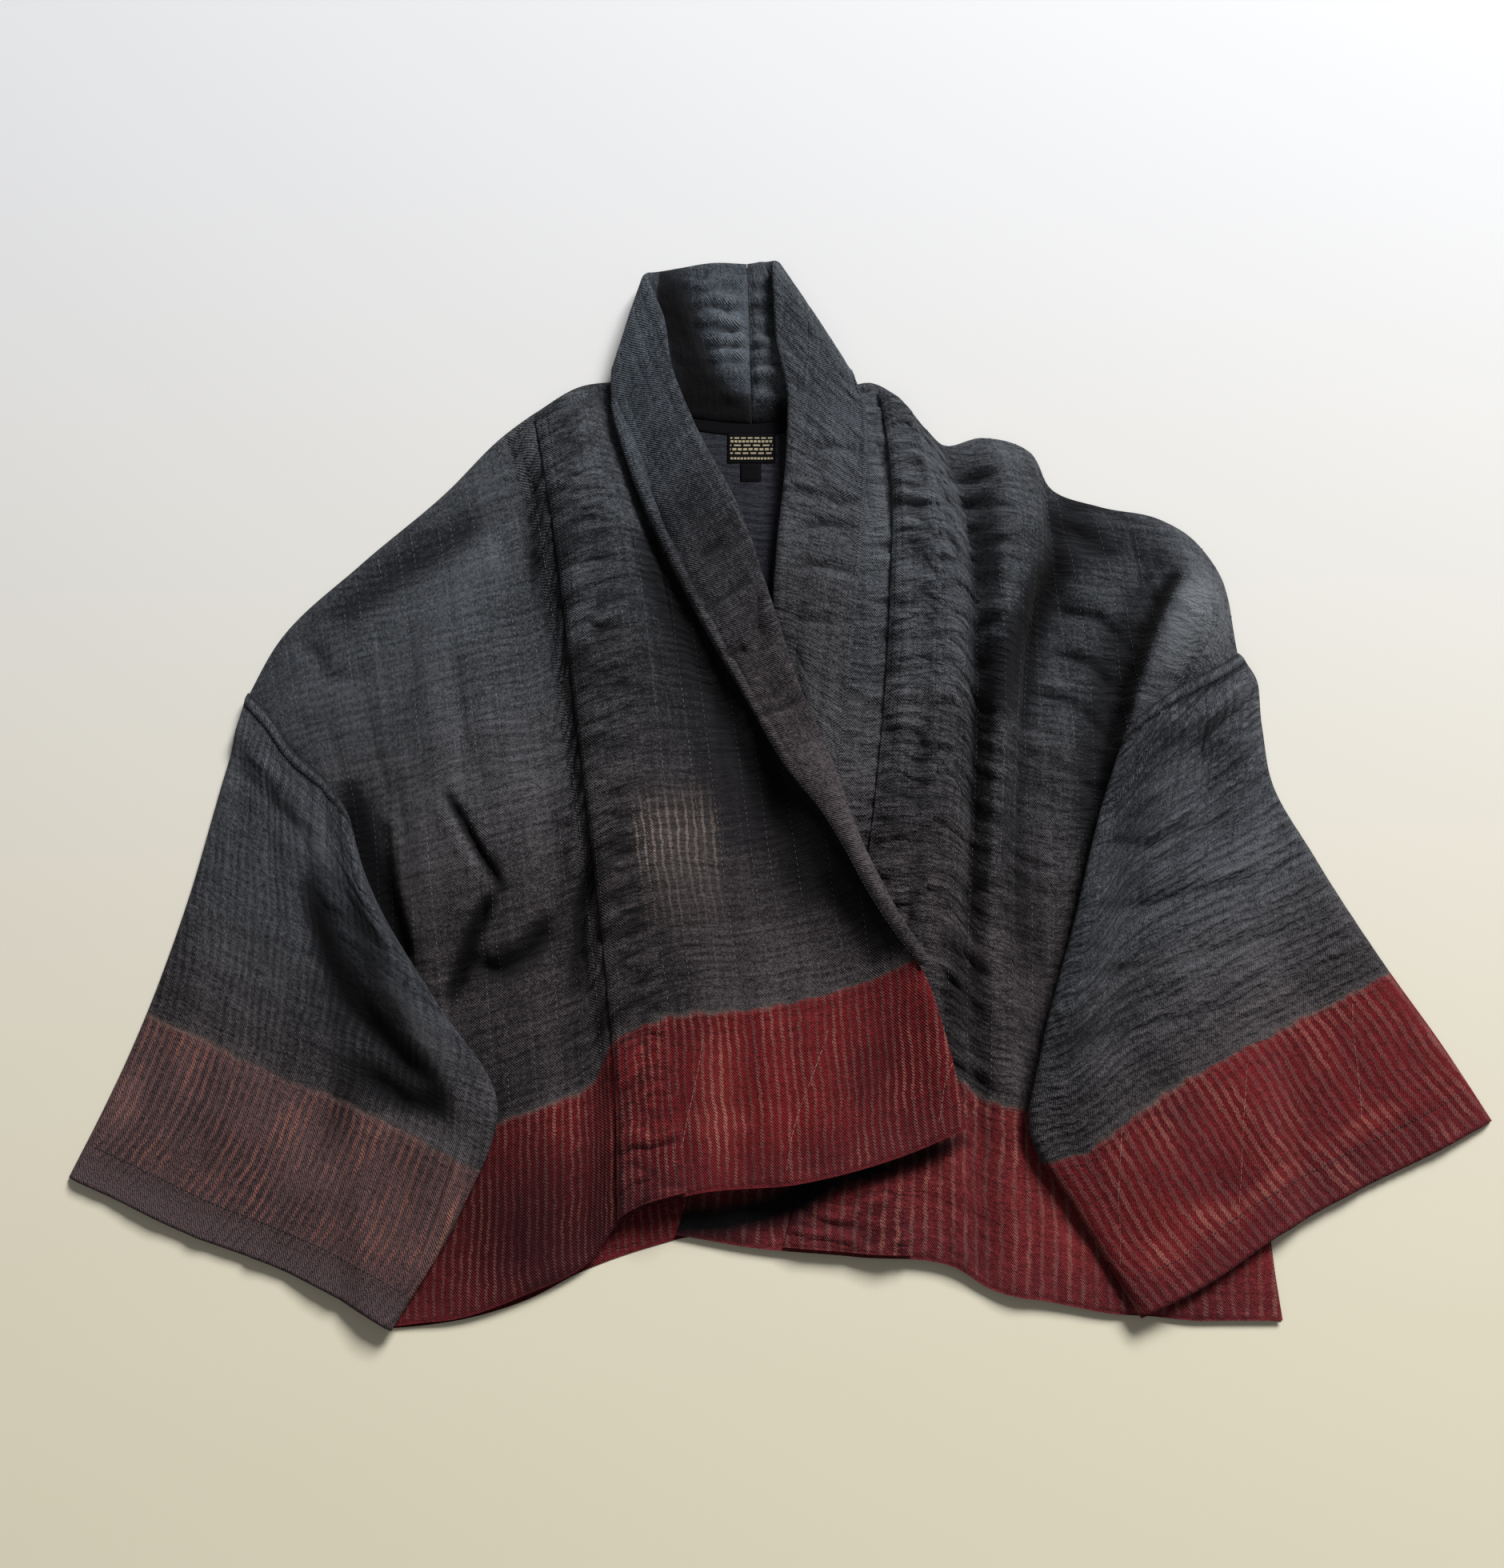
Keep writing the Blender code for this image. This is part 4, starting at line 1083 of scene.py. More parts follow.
sleeveShape = {
    "edgeShare": 0.5, "topShare": 0.62, "edgeRoll": 6.0, "reliefTop": 16.0, "closeEase": 4.0,
    "welt": 1.3, "weltAt": 4.6, "weltWidth": 2.6,
    "seamLines": (0.6, 8.8), "seamTone": -0.9, "seamWidth": 1.6,  # dark lines below the armhole
}


# A sleeve is a flattened tube, lapped on the body at the armhole and lying over it below. A low
# welt, height * exp(-((distance - place) / width) ** 2), follows the seam.
def laySleeve(name, lines, settings, material):
    grid = lineGrid(lines, settings["pitch"])
    u, v = clothPlace(grid, settings["grain"])
    side = fromSides(grid)
    top = fromFirstRow(grid)
    shape = sleeveShape
    thick = cloth["tube"] * thinned(side, shape["edgeShare"], shape["edgeRoll"])
    thick = thick * thinned(top, shape["topShare"], shape["edgeRoll"])
    relief, trough, near = reliefField(u, v, settings["relief"], settings["seed"])
    relief *= smooth(side / cloth["reliefEdge"]) * smooth(top / shape["reliefTop"])
    creased = creaseField(grid, v, settings["creases"])
    rise = np.maximum(grid[..., 2] + creased + relief, 0.0)
    rise += shape["welt"] * bell((top - shape["weltAt"]) / shape["weltWidth"])
    dye = dyeAndShadeField(grid, v, settings, creased, trough)
    for far in shape["seamLines"]:
        dye += shape["seamTone"] * bell((top - far) / shape["seamWidth"])
    marks = np.stack([u, v, near, dye], axis=2)
    leaving = np.clip(top / cloth["leavingSeam"], 0.0, 1.0)
    close = pileUnder(grid, 0.0, shape["closeEase"])
    clear = pileUnder(grid, settings["reach"], settings["ease"])
    support = close + (clear - close) * leaving
    grid[..., 2] = support + cloth["laidGap"] + thick / 2 + rise - settings["seat"] * (1 - leaving)
    piece, upper = tubeShell(name, grid, thick, marks, material)
    addToPile(upper)
    return {"piece": piece, "top": upper, "u": u, "v": v, "dye": dye, "grid": grid}


# Left front, its tuck and its half of the collar

leftFrontLines = {
    "front edge": [
        (52, 301, 2), (58, 255, 3), (56, 205, 3), (50, 148, 3), (42, 62, 3), (32, -10, 1),
        (8, -110, 0), (-35, -225, 0), (-76, -341, 1),
    ],
    "inner": [
        (71, 304, 2), (77, 258, 5), (80, 200, 6), (76, 130, 6), (70, 50, 5), (60, -40, 3),
        (44, -140, 1), (18, -240, 1), (-20, -350, 2),
    ],
    "tuck inner": [
        (87, 296, 2), (95, 249, 10), (100, 159, 10), (98, 65, 9), (90, -26, 5), (76, -130, 3),
        (66, -240, 2), (52, -356, 4),
    ],
    "tuck outer": [
        (113, 266, 2), (127, 215, 13), (137, 150, 13), (137, 60, 12), (133, -26, 10),
        (127, -120, 9), (126, -220, 6), (128, -366, 4),
    ],
    "gully": [
        (126, 253, 1), (139, 208, 5), (148, 145, 3), (148, 50, 2), (144, -40, 2),
        (139, -130, 2), (140, -225, 3), (143, -376, 3),
    ],
    "first ridge": [
        (156, 259, 6), (164, 214, 29), (168, 140, 27), (161, 50, 23), (155, -50, 17),
        (151, -140, 12), (156, -235, 9), (168, -384, 5),
    ],
    "ridge flank": [
        (192, 248, 6), (190, 200, 23), (186, 140, 16), (174, 50, 13), (167, -40, 10),
        (163, -130, 6), (168, -235, 5), (184, -386, 4),
    ],
    "first valley": [
        (209, 217, 1), (207, 160, 3), (194, 100, 1), (182, 30, 2), (176, -40, 4),
        (175, -140, 4), (180, -240, 3), (200, -389, 3),
    ],
    "second ridge": [
        (246, 203, 4), (250, 172, 13), (234, 96, 16), (222, 36, 18), (207, -40, 16),
        (197, -130, 9), (198, -240, 2), (232, -395, 2),
    ],
    "fold foot": [
        (291, 193, 3), (281, 150, 4), (265, 108, 9), (253, 62, 10), (241, 10, 9), (230, -60, 3),
        (238, -220, 1), (262, -397, 1),
    ],
    "fold edge": [
        (314, 179, 4), (295, 136, 26), (276, 96, 30), (262, 54, 29), (250, 10, 20),
        (250, -60, 4), (268, -220, 1), (292, -400, 1),
    ],
    "flap": [
        (332, 155, 5), (320, 118, 25), (303, 84, 26), (284, 52, 23), (268, 14, 14),
        (272, -60, 3), (292, -220, 1), (314, -400, 1),
    ],
    "armhole": [
        (347, 82, 1), (320, 65, 12), (298, 50, 16), (283, 34, 13), (280, 8, 5), (292, -40, 1),
        (310, -100, 0), (334, -230, 0), (354, -400, 1),
    ],
}

leftFront = {
    "pitch": 2.9, "grain": 0.28, "reach": 8.0, "ease": 10.0, "seed": 11,
    "dye": [
        ((105, 180), (55, 100), 0.32),
        ((100, 250), (60, 40), 0.12),
        ((80, 160), (20, 70), 0.18),
        # painted highlight along the first ridge
        ((168, 130), (16, 110), 0.18),
        ((215, -90), (60, 130), 0.02),
        # painted highlight on the lit shoulder flap
        ((314, 108), (30, 50), 0.72),
        # painted shade in the shoulder hollow, the valleys and beside the flap's edge, with a
        # painted highlight on the flap's lit edge
        ((225, 150), (28, 50), -0.12),
        ([(217, 197), (239, 181), (269, 174), (298, 148)], 15, -0.36),
        ([(221, 160), (201, 142), (186, 115), (167, 80), (158, 40)], 13, -0.80),
        ([(284, 150), (263, 112), (247, 72), (236, 30), (228, -20), (224, -60)], 13, -0.54),
        ([(299, 143), (286, 124), (271, 92), (257, 52), (247, 14), (239, -20)], 6, -1.15),
        ([(321, 140), (304, 118), (289, 84), (276, 52), (266, 24)], 12, 0.22),
        ([(216, 200), (205, 150), (192, 96), (180, 30), (174, -50), (176, -150)], 11, -0.35),
        ([(146, 150), (147, 50), (143, -50), (140, -130)], 6, -0.3),
        # painted shadow under the right front's lifted hem
        ([(-90, -328), (-74, -332), (-45, -331), (-11, -324), (24, -309)], 12, -1.5),
        ([(12, -311), (36, -304), (59, -298), (99, -286), (128, -274)], 6, -1.1),
        # painted shade along the tuck's outer edge
        ([(130, -130), (124, -190), (122, -250)], 8, -0.3),
    ],
    "relief": {
        "rest": 0.9, "pucker": 1.35, "puckerLength": 24.0, "puckerPitch": 6.5,
        "gatheredAt": [-22.0, 34.0], "gathered": 1.1, "gatherWidth": 26.0,
        "rib": 0.35, "ribPitch": 17.0, "dent": 1.5, "fold": 1.5, "foldPitch": 16.0, "lift": 1.0,
        "borderShare": 0.3,
    },
    "creases": [
        ([(218, 196), (206, 150), (192, 96), (180, 30)], 6, -4),
        ([(298, 143), (285, 124), (271, 92), (257, 52), (247, 14)], 4, -10),
        ([(307, 142), (295, 124), (281, 92), (267, 52), (257, 14)], 4, 2),
        ([(124, 225), (142, 221), (161, 219)], 4, -3.5),
        ([(127, 203), (163, 200)], 4, -3),
        ([(197, 193), (228, 178), (256, 155)], 7, -5),
        ([(215, 206), (250, 199), (281, 187)], 6, -4),
        ([(201, 145), (184, 96), (165, 39)], 8, -5),
        ([(210, 120), (240, 108), (262, 92)], 5, -4),
        ([(205, 88), (232, 74), (252, 56)], 5, -3.5),
        ([(196, 52), (222, 40), (246, 18)], 5, -3),
        ([(190, 5), (214, -8), (236, -22)], 5, -2.5),
        ([(160, 170), (186, 176), (204, 190)], 5, 2.5),
    ],
}
leftLaid = layFront("left_front_cloth", leftFrontLines, leftFront, leftCloth)
finishPiece(leftLaid["piece"], ["left_front"])

leftTuck = dict(tuck, **{"from": 0.13, "to": 0.27, "seed": 31})
leftTuckLaid = layTuck("left_tuck_cloth", leftLaid, leftTuck, leftCloth)
finishPiece(leftTuckLaid["piece"], ["left_tuck"])

leftCollarRows = [
    (-21.8, 271, 2.4, -25.8, 403, 2.4, 0),
    (5, 274.5, 2.4, -20, 404, 2.4, 0),
    (27, 281, 2.4, -15, 405, 2.4, 0),
    (42, 292, 2.4, -11, 405, 2.4, 0),
    (50, 301, 4.5, -7, 404, 5.5, 0),
    (54, 306, 9.0, -4, 402, 10.5, 0),
    (56, 304, 13.5, -5, 398, 15.5, 0),
    (59, 297, 15.0, -6, 390, 18.5, 0),
    (64, 283, 15.0, -5, 366, 20.0, 1),
    (66, 262, 14.5, -3, 330, 20.5, 1),
    (66, 236, 14.0, 5, 290, 20.0, 1),
    (64, 210, 13.0, 5, 250, 18.0, 1),
    (59, 148, 12.0, -3, 165, 15.0, 1),
    (53, 90, 11.0, -5, 112, 12.0, 1),
    (46, 20, 9.0, 12, 55, 9.0, 1),
    (36, -40, 7.0, 25, -5, 7.0, 1),
    (30, -70, 6.0, 22, -60, 6.0, 1),
]

leftCollar = {
    "pitch": 2.6, "reach": 4.0, "ease": 8.0, "crown": 3.0, "seed": 41,
    "dye": [
        ((35, 200), (40, 120), 0.14),
        # painted highlight on the collar back's lit bulge
        ((-8, 335), (22, 55), 0.40, 50),
        # painted shade at the collar back's base and across it
        ([(-22, 273), (5, 276), (30, 284), (44, 296)], 15, -1.3, 50),
        ([(4, 384), (10, 350), (18, 318), (30, 296)], 10, -0.7, 50),
        ((40, 280), (30, 50), 0.14),
        ((-20, 150), (60, 130), 0.10),
        ((27, -8), (9, 6), 0.75),
    ],
    "relief": {
        "rest": 1.0, "pucker": 0.9, "puckerLength": 26.0, "puckerPitch": 7.5,
        "rib": 0.25, "ribPitch": 15.0, "dent": 1.3, "fold": 0.7, "foldPitch": 20.0, "lift": 0.8,
        "borderShare": 1.0,
    },
    "creases": [
        ([(5, 150), (35, 151), (59, 145)], 4, -3),
        ([(8, 111), (38, 108)], 4, -2.5),
        ([(-6, 214), (14, 216), (36, 210)], 4, 2),
        ([(-24, 385), (-8, 388), (8, 384)], 3.5, 3, 50),
        ([(-23, 369), (-6, 374), (10, 370)], 4, 5, 50),
        ([(-24, 352), (-8, 355), (12, 351)], 3.5, 3, 50),
        ([(-23, 337), (-4, 334), (16, 339)], 4, 5.5, 50),
        ([(-24, 324), (-8, 326), (18, 321)], 3.5, 3, 50),
        ([(-23, 308), (-2, 311), (22, 306)], 4, 4.5, 50),
        ([(-22, 293), (0, 291), (26, 294)], 3.5, 2.5, 50),
        ([(58, 240), (40, 246), (24, 243)], 4, -2.5),
        ([(62, 205), (44, 200), (30, 206)], 4, -2.5),
        ([(60, 180), (38, 184), (14, 180)], 4, -2.5),
    ],
}
leftCollarLaid = layCollar("left_collar_cloth", leftCollarRows, leftCollar, leftCollarCloth)
finishPiece(leftCollarLaid["piece"], ["left_collar"])
print("left side laid")

# Right front, its tuck and its half of the collar

rightFrontLines = {
    "armhole": [
        (-404, 50, 1), (-368, 8, 1), (-329, -37, 1), (-313, -94, 0), (-301, -200, 0),
        (-291, -300, 0), (-283, -405, 0),
    ],
    "pit": [
        (-381, 96, 3), (-350, 50, 9), (-312, -10, 4), (-298, -62, 1), (-284, -160, 0),
        (-270, -290, 0), (-260, -402, 1),
    ],
    "underarm": [
        (-321, 157, 4), (-299, 92, 11), (-278, 10, 15), (-266, -70, 15), (-254, -170, 4),
        (-244, -290, 1), (-233, -399, 2),
    ],
    "side ridge": [
        (-258, 214, 4), (-236, 140, 15), (-224, 40, 18), (-208, -60, 16), (-192, -160, 14),
        (-184, -270, 10), (-180, -381, 4),
    ],
    "side valley": [
        (-214, 261, 2), (-193, 195, 5), (-176, 105, 4), (-163, 15, 4), (-151, -75, 3),
        (-141, -180, 3), (-137, -270, 4), (-139, -361, 3),
    ],
    "tuck outer": [
        (-188, 281, 2), (-175, 210, 14), (-162, 120, 14), (-152, 40, 12), (-141, -40, 11),
        (-129, -130, 12), (-119, -215, 14), (-114, -330, 11),
    ],
    "tuck inner": [
        (-152, 302, 2), (-139, 240, 12), (-123, 155, 11), (-109, 65, 10), (-102, -40, 11),
        (-92, -130, 14), (-82, -200, 15), (-68, -313, 14),
    ],
    "breast": [
        (-139, 304, 2), (-119, 230, 9), (-97, 150, 9), (-72, 60, 6), (-48, -40, 11),
        (-22, -140, 15), (-5, -225, 18), (14, -304, 15),
    ],
    "edge valley": [
        (-132, 304, 2), (-109, 212, 3), (-79, 125, 2), (-42, 40, 1), (8, -50, 1), (56, -135, 1),
        (80, -205, 5), (88, -284, 12),
    ],
    "front edge": [
        (-127, 300, 2), (-101, 210, 4), (-69, 140, 4), (-40, 88, 4), (-11, 38, 4), (18, -10, 6),
        (44, -55, 10), (77, -123, 14), (100, -156, 16), (118, -209, 16), (131, -266, 14),
    ],
}

rightFront = {
    "pitch": 3.0, "grain": 0.62, "reach": 8.0, "ease": 10.0, "seed": 12,
    "dye": [
        ((-20, -40), (70, 110), -0.26),
        # painted shadow cast by the rolled front edge and the collar over the breast
        ([(-99, 170), (-88, 143), (-60, 88), (-33, 38), (-7, -14), (15, -44), (34, -72), (54, -108),
          (72, -134)], 12, -1.25),
        ([(-100, 130), (-74, 75), (-46, 22), (-16, -32), (10, -70), (40, -118)], 28, -0.40),
        # painted shade in the pit's hollow and the creases below it
        ([(-321, -23), (-307, -67), (-288, -110), (-273, -146)], 10, -1.1),
        ([(-245, -26), (-235, -44), (-223, -65), (-211, -83), (-205, -94)], 4, -0.8),
        ([(-214, -103), (-224, -126), (-232, -148), (-241, -171)], 6, -1.1),
        ([(-172, -119), (-185, -140), (-205, -153), (-223, -148)], 9, -0.65),
        ([(-130, -72), (-145, -90), (-152, -119), (-153, -173), (-150, -230)], 14, -0.30),
        ((-250, 110), (90, 110), 0.10),
        # painted shade along the tuck's outer side and between the tuck and the side
        ([(-170, 200), (-164, 130), (-156, 60), (-148, 0)], 9, -0.25),
        ((-200, -120), (60, 70), -0.18),
        # painted shade over the hem's left end
        ((-190, -330), (90, 70), -0.46),
        ((-46, -243), (18, 60), 0.42),
        ((-66, -262), (60, 9), 0.12),
        ((20, -262), (70, 10), 0.12),
        # more painted shade at the hem's left end
        ((-170, -345), (50, 50), -0.24),
        ((70, -230), (60, 50), -0.12),
    ],
    "relief": {
        "rest": 0.6, "pucker": 1.25, "puckerLength": 25.0, "puckerPitch": 6.5,
        "gatheredAt": [-26.0, 12.0], "gathered": 1.2, "gatherWidth": 24.0,
        "rib": 0.35, "ribPitch": 16.0, "dent": 1.6, "fold": 1.6, "foldPitch": 18.0, "lift": 1.2,
        "borderShare": 0.3,
    },
    "creases": [
        ([(-222, 202), (-247, 176), (-271, 159), (-295, 144), (-318, 127), (-343, 106)], 15, -6),
        ([(-361, 94), (-345, 83), (-339, 68), (-327, 68)], 5, -4),
        ([(-188, 232), (-190, 183), (-191, 128)], 7, -4),
        ([(-321, -23), (-307, -67), (-288, -110), (-273, -146)], 9, -8),
        ([(-291, -28), (-283, -67), (-276, -110), (-263, -155)], 6, 4.5),
        ([(-245, -26), (-235, -44), (-223, -65), (-211, -83), (-205, -94)], 4, -7),
        ([(-253, -30), (-243, -50), (-231, -72), (-219, -90)], 5, 3),
        ([(-214, -103), (-224, -126), (-232, -148), (-241, -171)], 5, -10),
        ([(-204, -106), (-213, -128), (-221, -144)], 4, 3),
        ([(-172, -119), (-185, -140), (-205, -153), (-223, -148)], 6, -7),
        ([(-172, -104), (-188, -126), (-208, -138)], 5, 3),
        ([(-150, -32), (-156, -83), (-160, -119), (-160, -155), (-158, -195)], 5, 4),
        ([(-130, -72), (-145, -90), (-152, -119), (-153, -173)], 8, -5),
        ([(-250, 120), (-262, 60), (-270, 10)], 14, 3),
    ],
}
rightLaid = layFront("right_front_cloth", rightFrontLines, rightFront, rightCloth)
finishPiece(rightLaid["piece"], ["right_front"])

rightTuck = dict(tuck, **{"from": 0.59, "to": 0.71, "seed": 32})
rightTuckLaid = layTuck("right_tuck_cloth", rightLaid, rightTuck, rightCloth)
finishPiece(rightTuckLaid["piece"], ["right_tuck"])

rightCollarRows = [
    (-22.2, 271, 2.4, -26.2, 403, 2.4, 0),
    (-47, 273, 2.4, -52, 404, 2.4, 0),
    (-76, 278, 2.4, -77, 400, 2.4, 0),
    (-101, 289, 2.4, -93, 397, 2.4, 0),
    (-121, 306, 4.5, -101, 394, 6.5, 0),
    (-127, 310, 9.5, -104, 390, 14.0, 0),
    (-129, 307, 14.5, -104, 384, 21.5, 0),
    (-130, 297, 15.5, -101, 375, 25.0, 0),
    (-129, 273, 14.5, -90, 346, 27.5, 1),
    (-122, 247, 14.0, -84, 308, 28.0, 1),
    (-110, 212, 14.5, -68, 266, 25.0, 1),
    (-80, 147, 15.0, -30, 191, 19.0, 1),
    (-52, 94, 14.0, -8, 124, 15.0, 1),
    (-22, 42, 13.0, 14, 56, 13.0, 1),
    (5, -7, 11.0, 35, 6, 11.0, 1),
    (27, -35, 10.0, 45, -24, 10.0, 1),
    (44, -62, 9.0, 56, -57, 9.0, 1),
    (60, -93, 10.0, 70, -88, 10.0, 1),
    (80, -126, 12.0, 88, -122, 12.0, 1),
    (99, -151, 13.0, 105, -148, 13.0, 1),
]

rightCollar = {
    "pitch": 2.6, "reach": 4.0, "ease": 8.0, "crown": 3.5, "seed": 42,
    "dye": [
        ((-60, 180), (60, 110), -0.20),
        # painted highlight on the collar back's lit bulge
        ((-40, 335), (22, 55), 0.45, 78),
        # painted shade on the collar back beside the wing's fold and at its base
        ([(-92, 388), (-86, 362), (-76, 332), (-66, 308), (-54, 292), (-38, 282)], 16, -1.5, 78),
        ([(-112, 300), (-90, 284), (-60, 276), (-22, 273)], 15, -1.3, 78),
        ((-112, 300), (24, 60), 0.14),
        ((40, -30), (30, 40), 0.15),
    ],
    "relief": {
        "rest": 0.8, "pucker": 0.8, "puckerLength": 24.0, "puckerPitch": 7.5,
        "rib": 0.25, "ribPitch": 15.0, "dent": 1.3, "fold": 0.7, "foldPitch": 20.0, "lift": 0.8,
        "borderShare": 1.0,
    },
    "creases": [
        ([(-78, 386), (-60, 383), (-44, 388), (-26, 385)], 3.5, 3, 78),
        ([(-70, 366), (-52, 372), (-38, 368), (-25, 370)], 4, 5.5, 78),
        ([(-68, 352), (-50, 355), (-36, 350), (-24, 353)], 3.5, 4.5, 78),
        ([(-58, 338), (-40, 335), (-25, 338)], 4, 5.5, 78),
        ([(-56, 322), (-40, 325), (-24, 323)], 3.5, 4.5, 78),
        ([(-50, 306), (-36, 310), (-24, 307)], 4, 3, 78),
        ([(-44, 291), (-24, 293)], 3.5, 2.5, 78),
        ([(-119, 247), (-106, 212), (-76, 147), (-48, 94), (-19, 42), (8, -7)], 2.6, 1.4),
        ([(-113, 245), (-100, 210), (-70, 145), (-43, 92), (-14, 41), (12, -7)], 2.6, -1.2),
        ([(-63, 157), (-43, 170)], 4, -4),
        ([(-58, 117), (-40, 128), (-23, 142)], 4, -4),
        ([(-43, 83), (-25, 87)], 4, -4.5),
        ([(-25, 46), (-8, 51), (5, 61)], 3.5, -3.5),
        ([(-19, 34), (0, 40), (14, 50)], 3.5, -3.5),
    ],
}
rightCollarLaid = layCollar("right_collar_cloth", rightCollarRows, rightCollar, rightCollarCloth)
finishPiece(rightCollarLaid["piece"], ["right_collar"])
print("right side laid")


# Neck label and size tab: a slab whose edges are rounded, with a slight wave across it

tagLook = {
    "dark": (0.0014, 0.0014, 0.0020, 1), "pale": (0.0050, 0.0050, 0.0066, 1),
    "weft": (500.0, 2600.0, 2.0), "bump": 0.3, "depth": 0.0002, "roughness": 0.75, "specular": 0.03,
    "barStrength": 0.9, "barEdge": 0.0002, "gapFrom": 0.40, "gapTo": 0.32, "sideEdge": 0.0003,
}


# Near-black satin weave, with plain pale bars woven in where rows are given. Each row is its v, its
# half height and the length of a bar, and the bars lie between uLow and uHigh, all in metres.
def tagMaterial(name, bars=None):
    look = tagLook
    material, tree, place = newMaterial(name)
    weft = noiseNode(tree, place, *look["weft"])
    colour = mixNode(tree, weft, look["dark"], look["pale"])
    if bars:
        u, v = uAndV(tree, place)
        half = (bars["uHigh"] - bars["uLow"]) / 2
        aside = farFrom(tree, u, (bars["uLow"] + bars["uHigh"]) / 2)
        inside = stepNode(tree, aside, half, half - look["sideEdge"])
        for rowV, rowHalf, bar in bars["rows"]:
            level, edge = farFrom(tree, v, rowV), look["barEdge"]
            part = mathNode(tree, "FRACT", mathNode(tree, "DIVIDE", u, bar))
            gap = stepNode(tree, farFrom(tree, part, 0.5), look["gapFrom"], look["gapTo"])
            share = times(tree, stepNode(tree, level, rowHalf + edge, rowHalf - edge), gap)
            share = times(tree, times(tree, share, inside), look["barStrength"])
            colour = mixNode(tree, share, colour, bars["colour"])
    dress(tree, {
        "Base Color": colour, "Normal": bumpNode(tree, weft, look["bump"], look["depth"]),
        "Roughness": look["roughness"], "Specular IOR Level": look["specular"],
    })
    return material


tagCloth = tagMaterial("woven tag cloth")
labelCloth = tagMaterial("label cloth", {
    "uLow": -0.0390, "uHigh": -0.0058, "colour": (0.33, 0.285, 0.18, 1),
    "rows": [
        (0.2588, 0.0006, 0.0052),
        (0.2560, 0.0009, 0.0030),
        (0.2528, 0.0006, 0.0074),
        (0.2496, 0.0009, 0.0042),
        (0.2464, 0.0006, 0.0060),
        (0.2422, 0.0008, 0.0026),
    ],
})
neckLabel = {
    "node": "neck_label", "across": 38, "down": 26, "flat": (0.037, 0.024), "cloth": labelCloth,
}
sizeTab = {"node": "size_tab", "across": 18, "down": 18, "flat": (0.016, 0.0146), "cloth": tagCloth}


def layTag(settings):
    low, high = (np.array(corner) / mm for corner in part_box(settings["node"]))
    x = np.linspace(low[0] + 0.3, high[0] - 0.3, settings["across"])
    y = np.linspace(high[1] - 0.3, low[1] + 0.3, settings["down"])
    grid = np.zeros((len(y), len(x), 3))
    grid[..., 0], grid[..., 1] = np.meshgrid(x, y)
    edge = fromEdges(grid)
    thick = (high[2] - low[2]) * thinned(edge, 0.35, 1.2)
    grid[..., 2] = low[2] + thick / 2 + 0.25 * np.sin(grid[..., 0] * 0.21) ** 2
    marks = np.stack([grid[..., 0], grid[..., 1], edge, np.zeros(edge.shape)], axis=2)
    piece = sheetShell(settings["node"] + "_woven", grid, thick, marks, settings["cloth"])[0]
    finishPiece(piece, [settings["node"]])


layTag(neckLabel)
layTag(sizeTab)

# Neck tape and painted shadow: a narrow near-black band along the back neck seam, between the
# collar and the back, standing for both the tape and the collar's shadow over the seam
neckTapeAndShadow = {
    "line": [(-104, 290, 2.5), (-76, 276, 2.5), (-47, 270, 2.5), (-22, 269, 2.5), (5, 271, 2.5),
             (27, 277, 2.5), (42, 286, 2.5)],
    "width": 14.0, "thick": 0.6, "columns": 11, "pitch": 2.0,
}


def layNeckTapeAndShadow(settings):
    length = distances(np.array(settings["line"], float))[-1]
    line = evenlyAlong(settings["line"], round(length / settings["pitch"]))
    way = np.gradient(line, axis=0)
    way /= np.linalg.norm(way, axis=1, keepdims=True)
    across = np.stack([-way[:, 1], way[:, 0], np.zeros(len(way))], axis=1)
    share = np.linspace(0.5, -0.5, settings["columns"])
    grid = line[:, None] + across[:, None] * share[None, :, None] * settings["width"]
    edge = fromEdges(grid)
    thick = settings["thick"] * thinned(edge, 0.4, 1.0)
    marks = np.stack([grid[..., 0], grid[..., 1], edge, np.zeros(edge.shape)], axis=2)
    piece = sheetShell("neck_tape_and_shadow", grid, thick, marks, tagCloth)[0]
    finishPiece(piece, [])


layNeckTapeAndShadow(neckTapeAndShadow)
print("tags laid")

# Sleeves

rightSleeveLines = {
    "overarm fold": [
        (-401, 55, 0), (-417, -10, 0), (-441, -110, 0), (-467, -192, 0), (-490, -250, 0),
        (-513, -301, 0),
    ],
    "outer": [
        (-385, 38, 0), (-398, -24, 2), (-410, -114, 2), (-426, -206, 2), (-450, -268, 2),
        (-474, -318, 1),
    ],
    "middle": [
        (-366, 11, 0), (-368, -46, 3), (-366, -126, 2), (-374, -222, 2), (-400, -294, 3),
        (-428, -339, 1),
    ],
    "valley": [
        (-340, -13, 0), (-332, -74, 2), (-312, -150, 1), (-306, -250, 3), (-336, -334, 4),
        (-361, -363, 1),
    ],
    "ridge": [
        (-325, -36, 0), (-308, -90, 11), (-268, -164, 15), (-233, -240, 14), (-258, -328, 6),
        (-306, -389, 2),
    ],
    "underarm fold": [
        (-319, -64, 0), (-295, -108, 5), (-251, -176, 9), (-204, -250, 6), (-230, -325, 3),
        (-277, -406, 1),
    ],
}

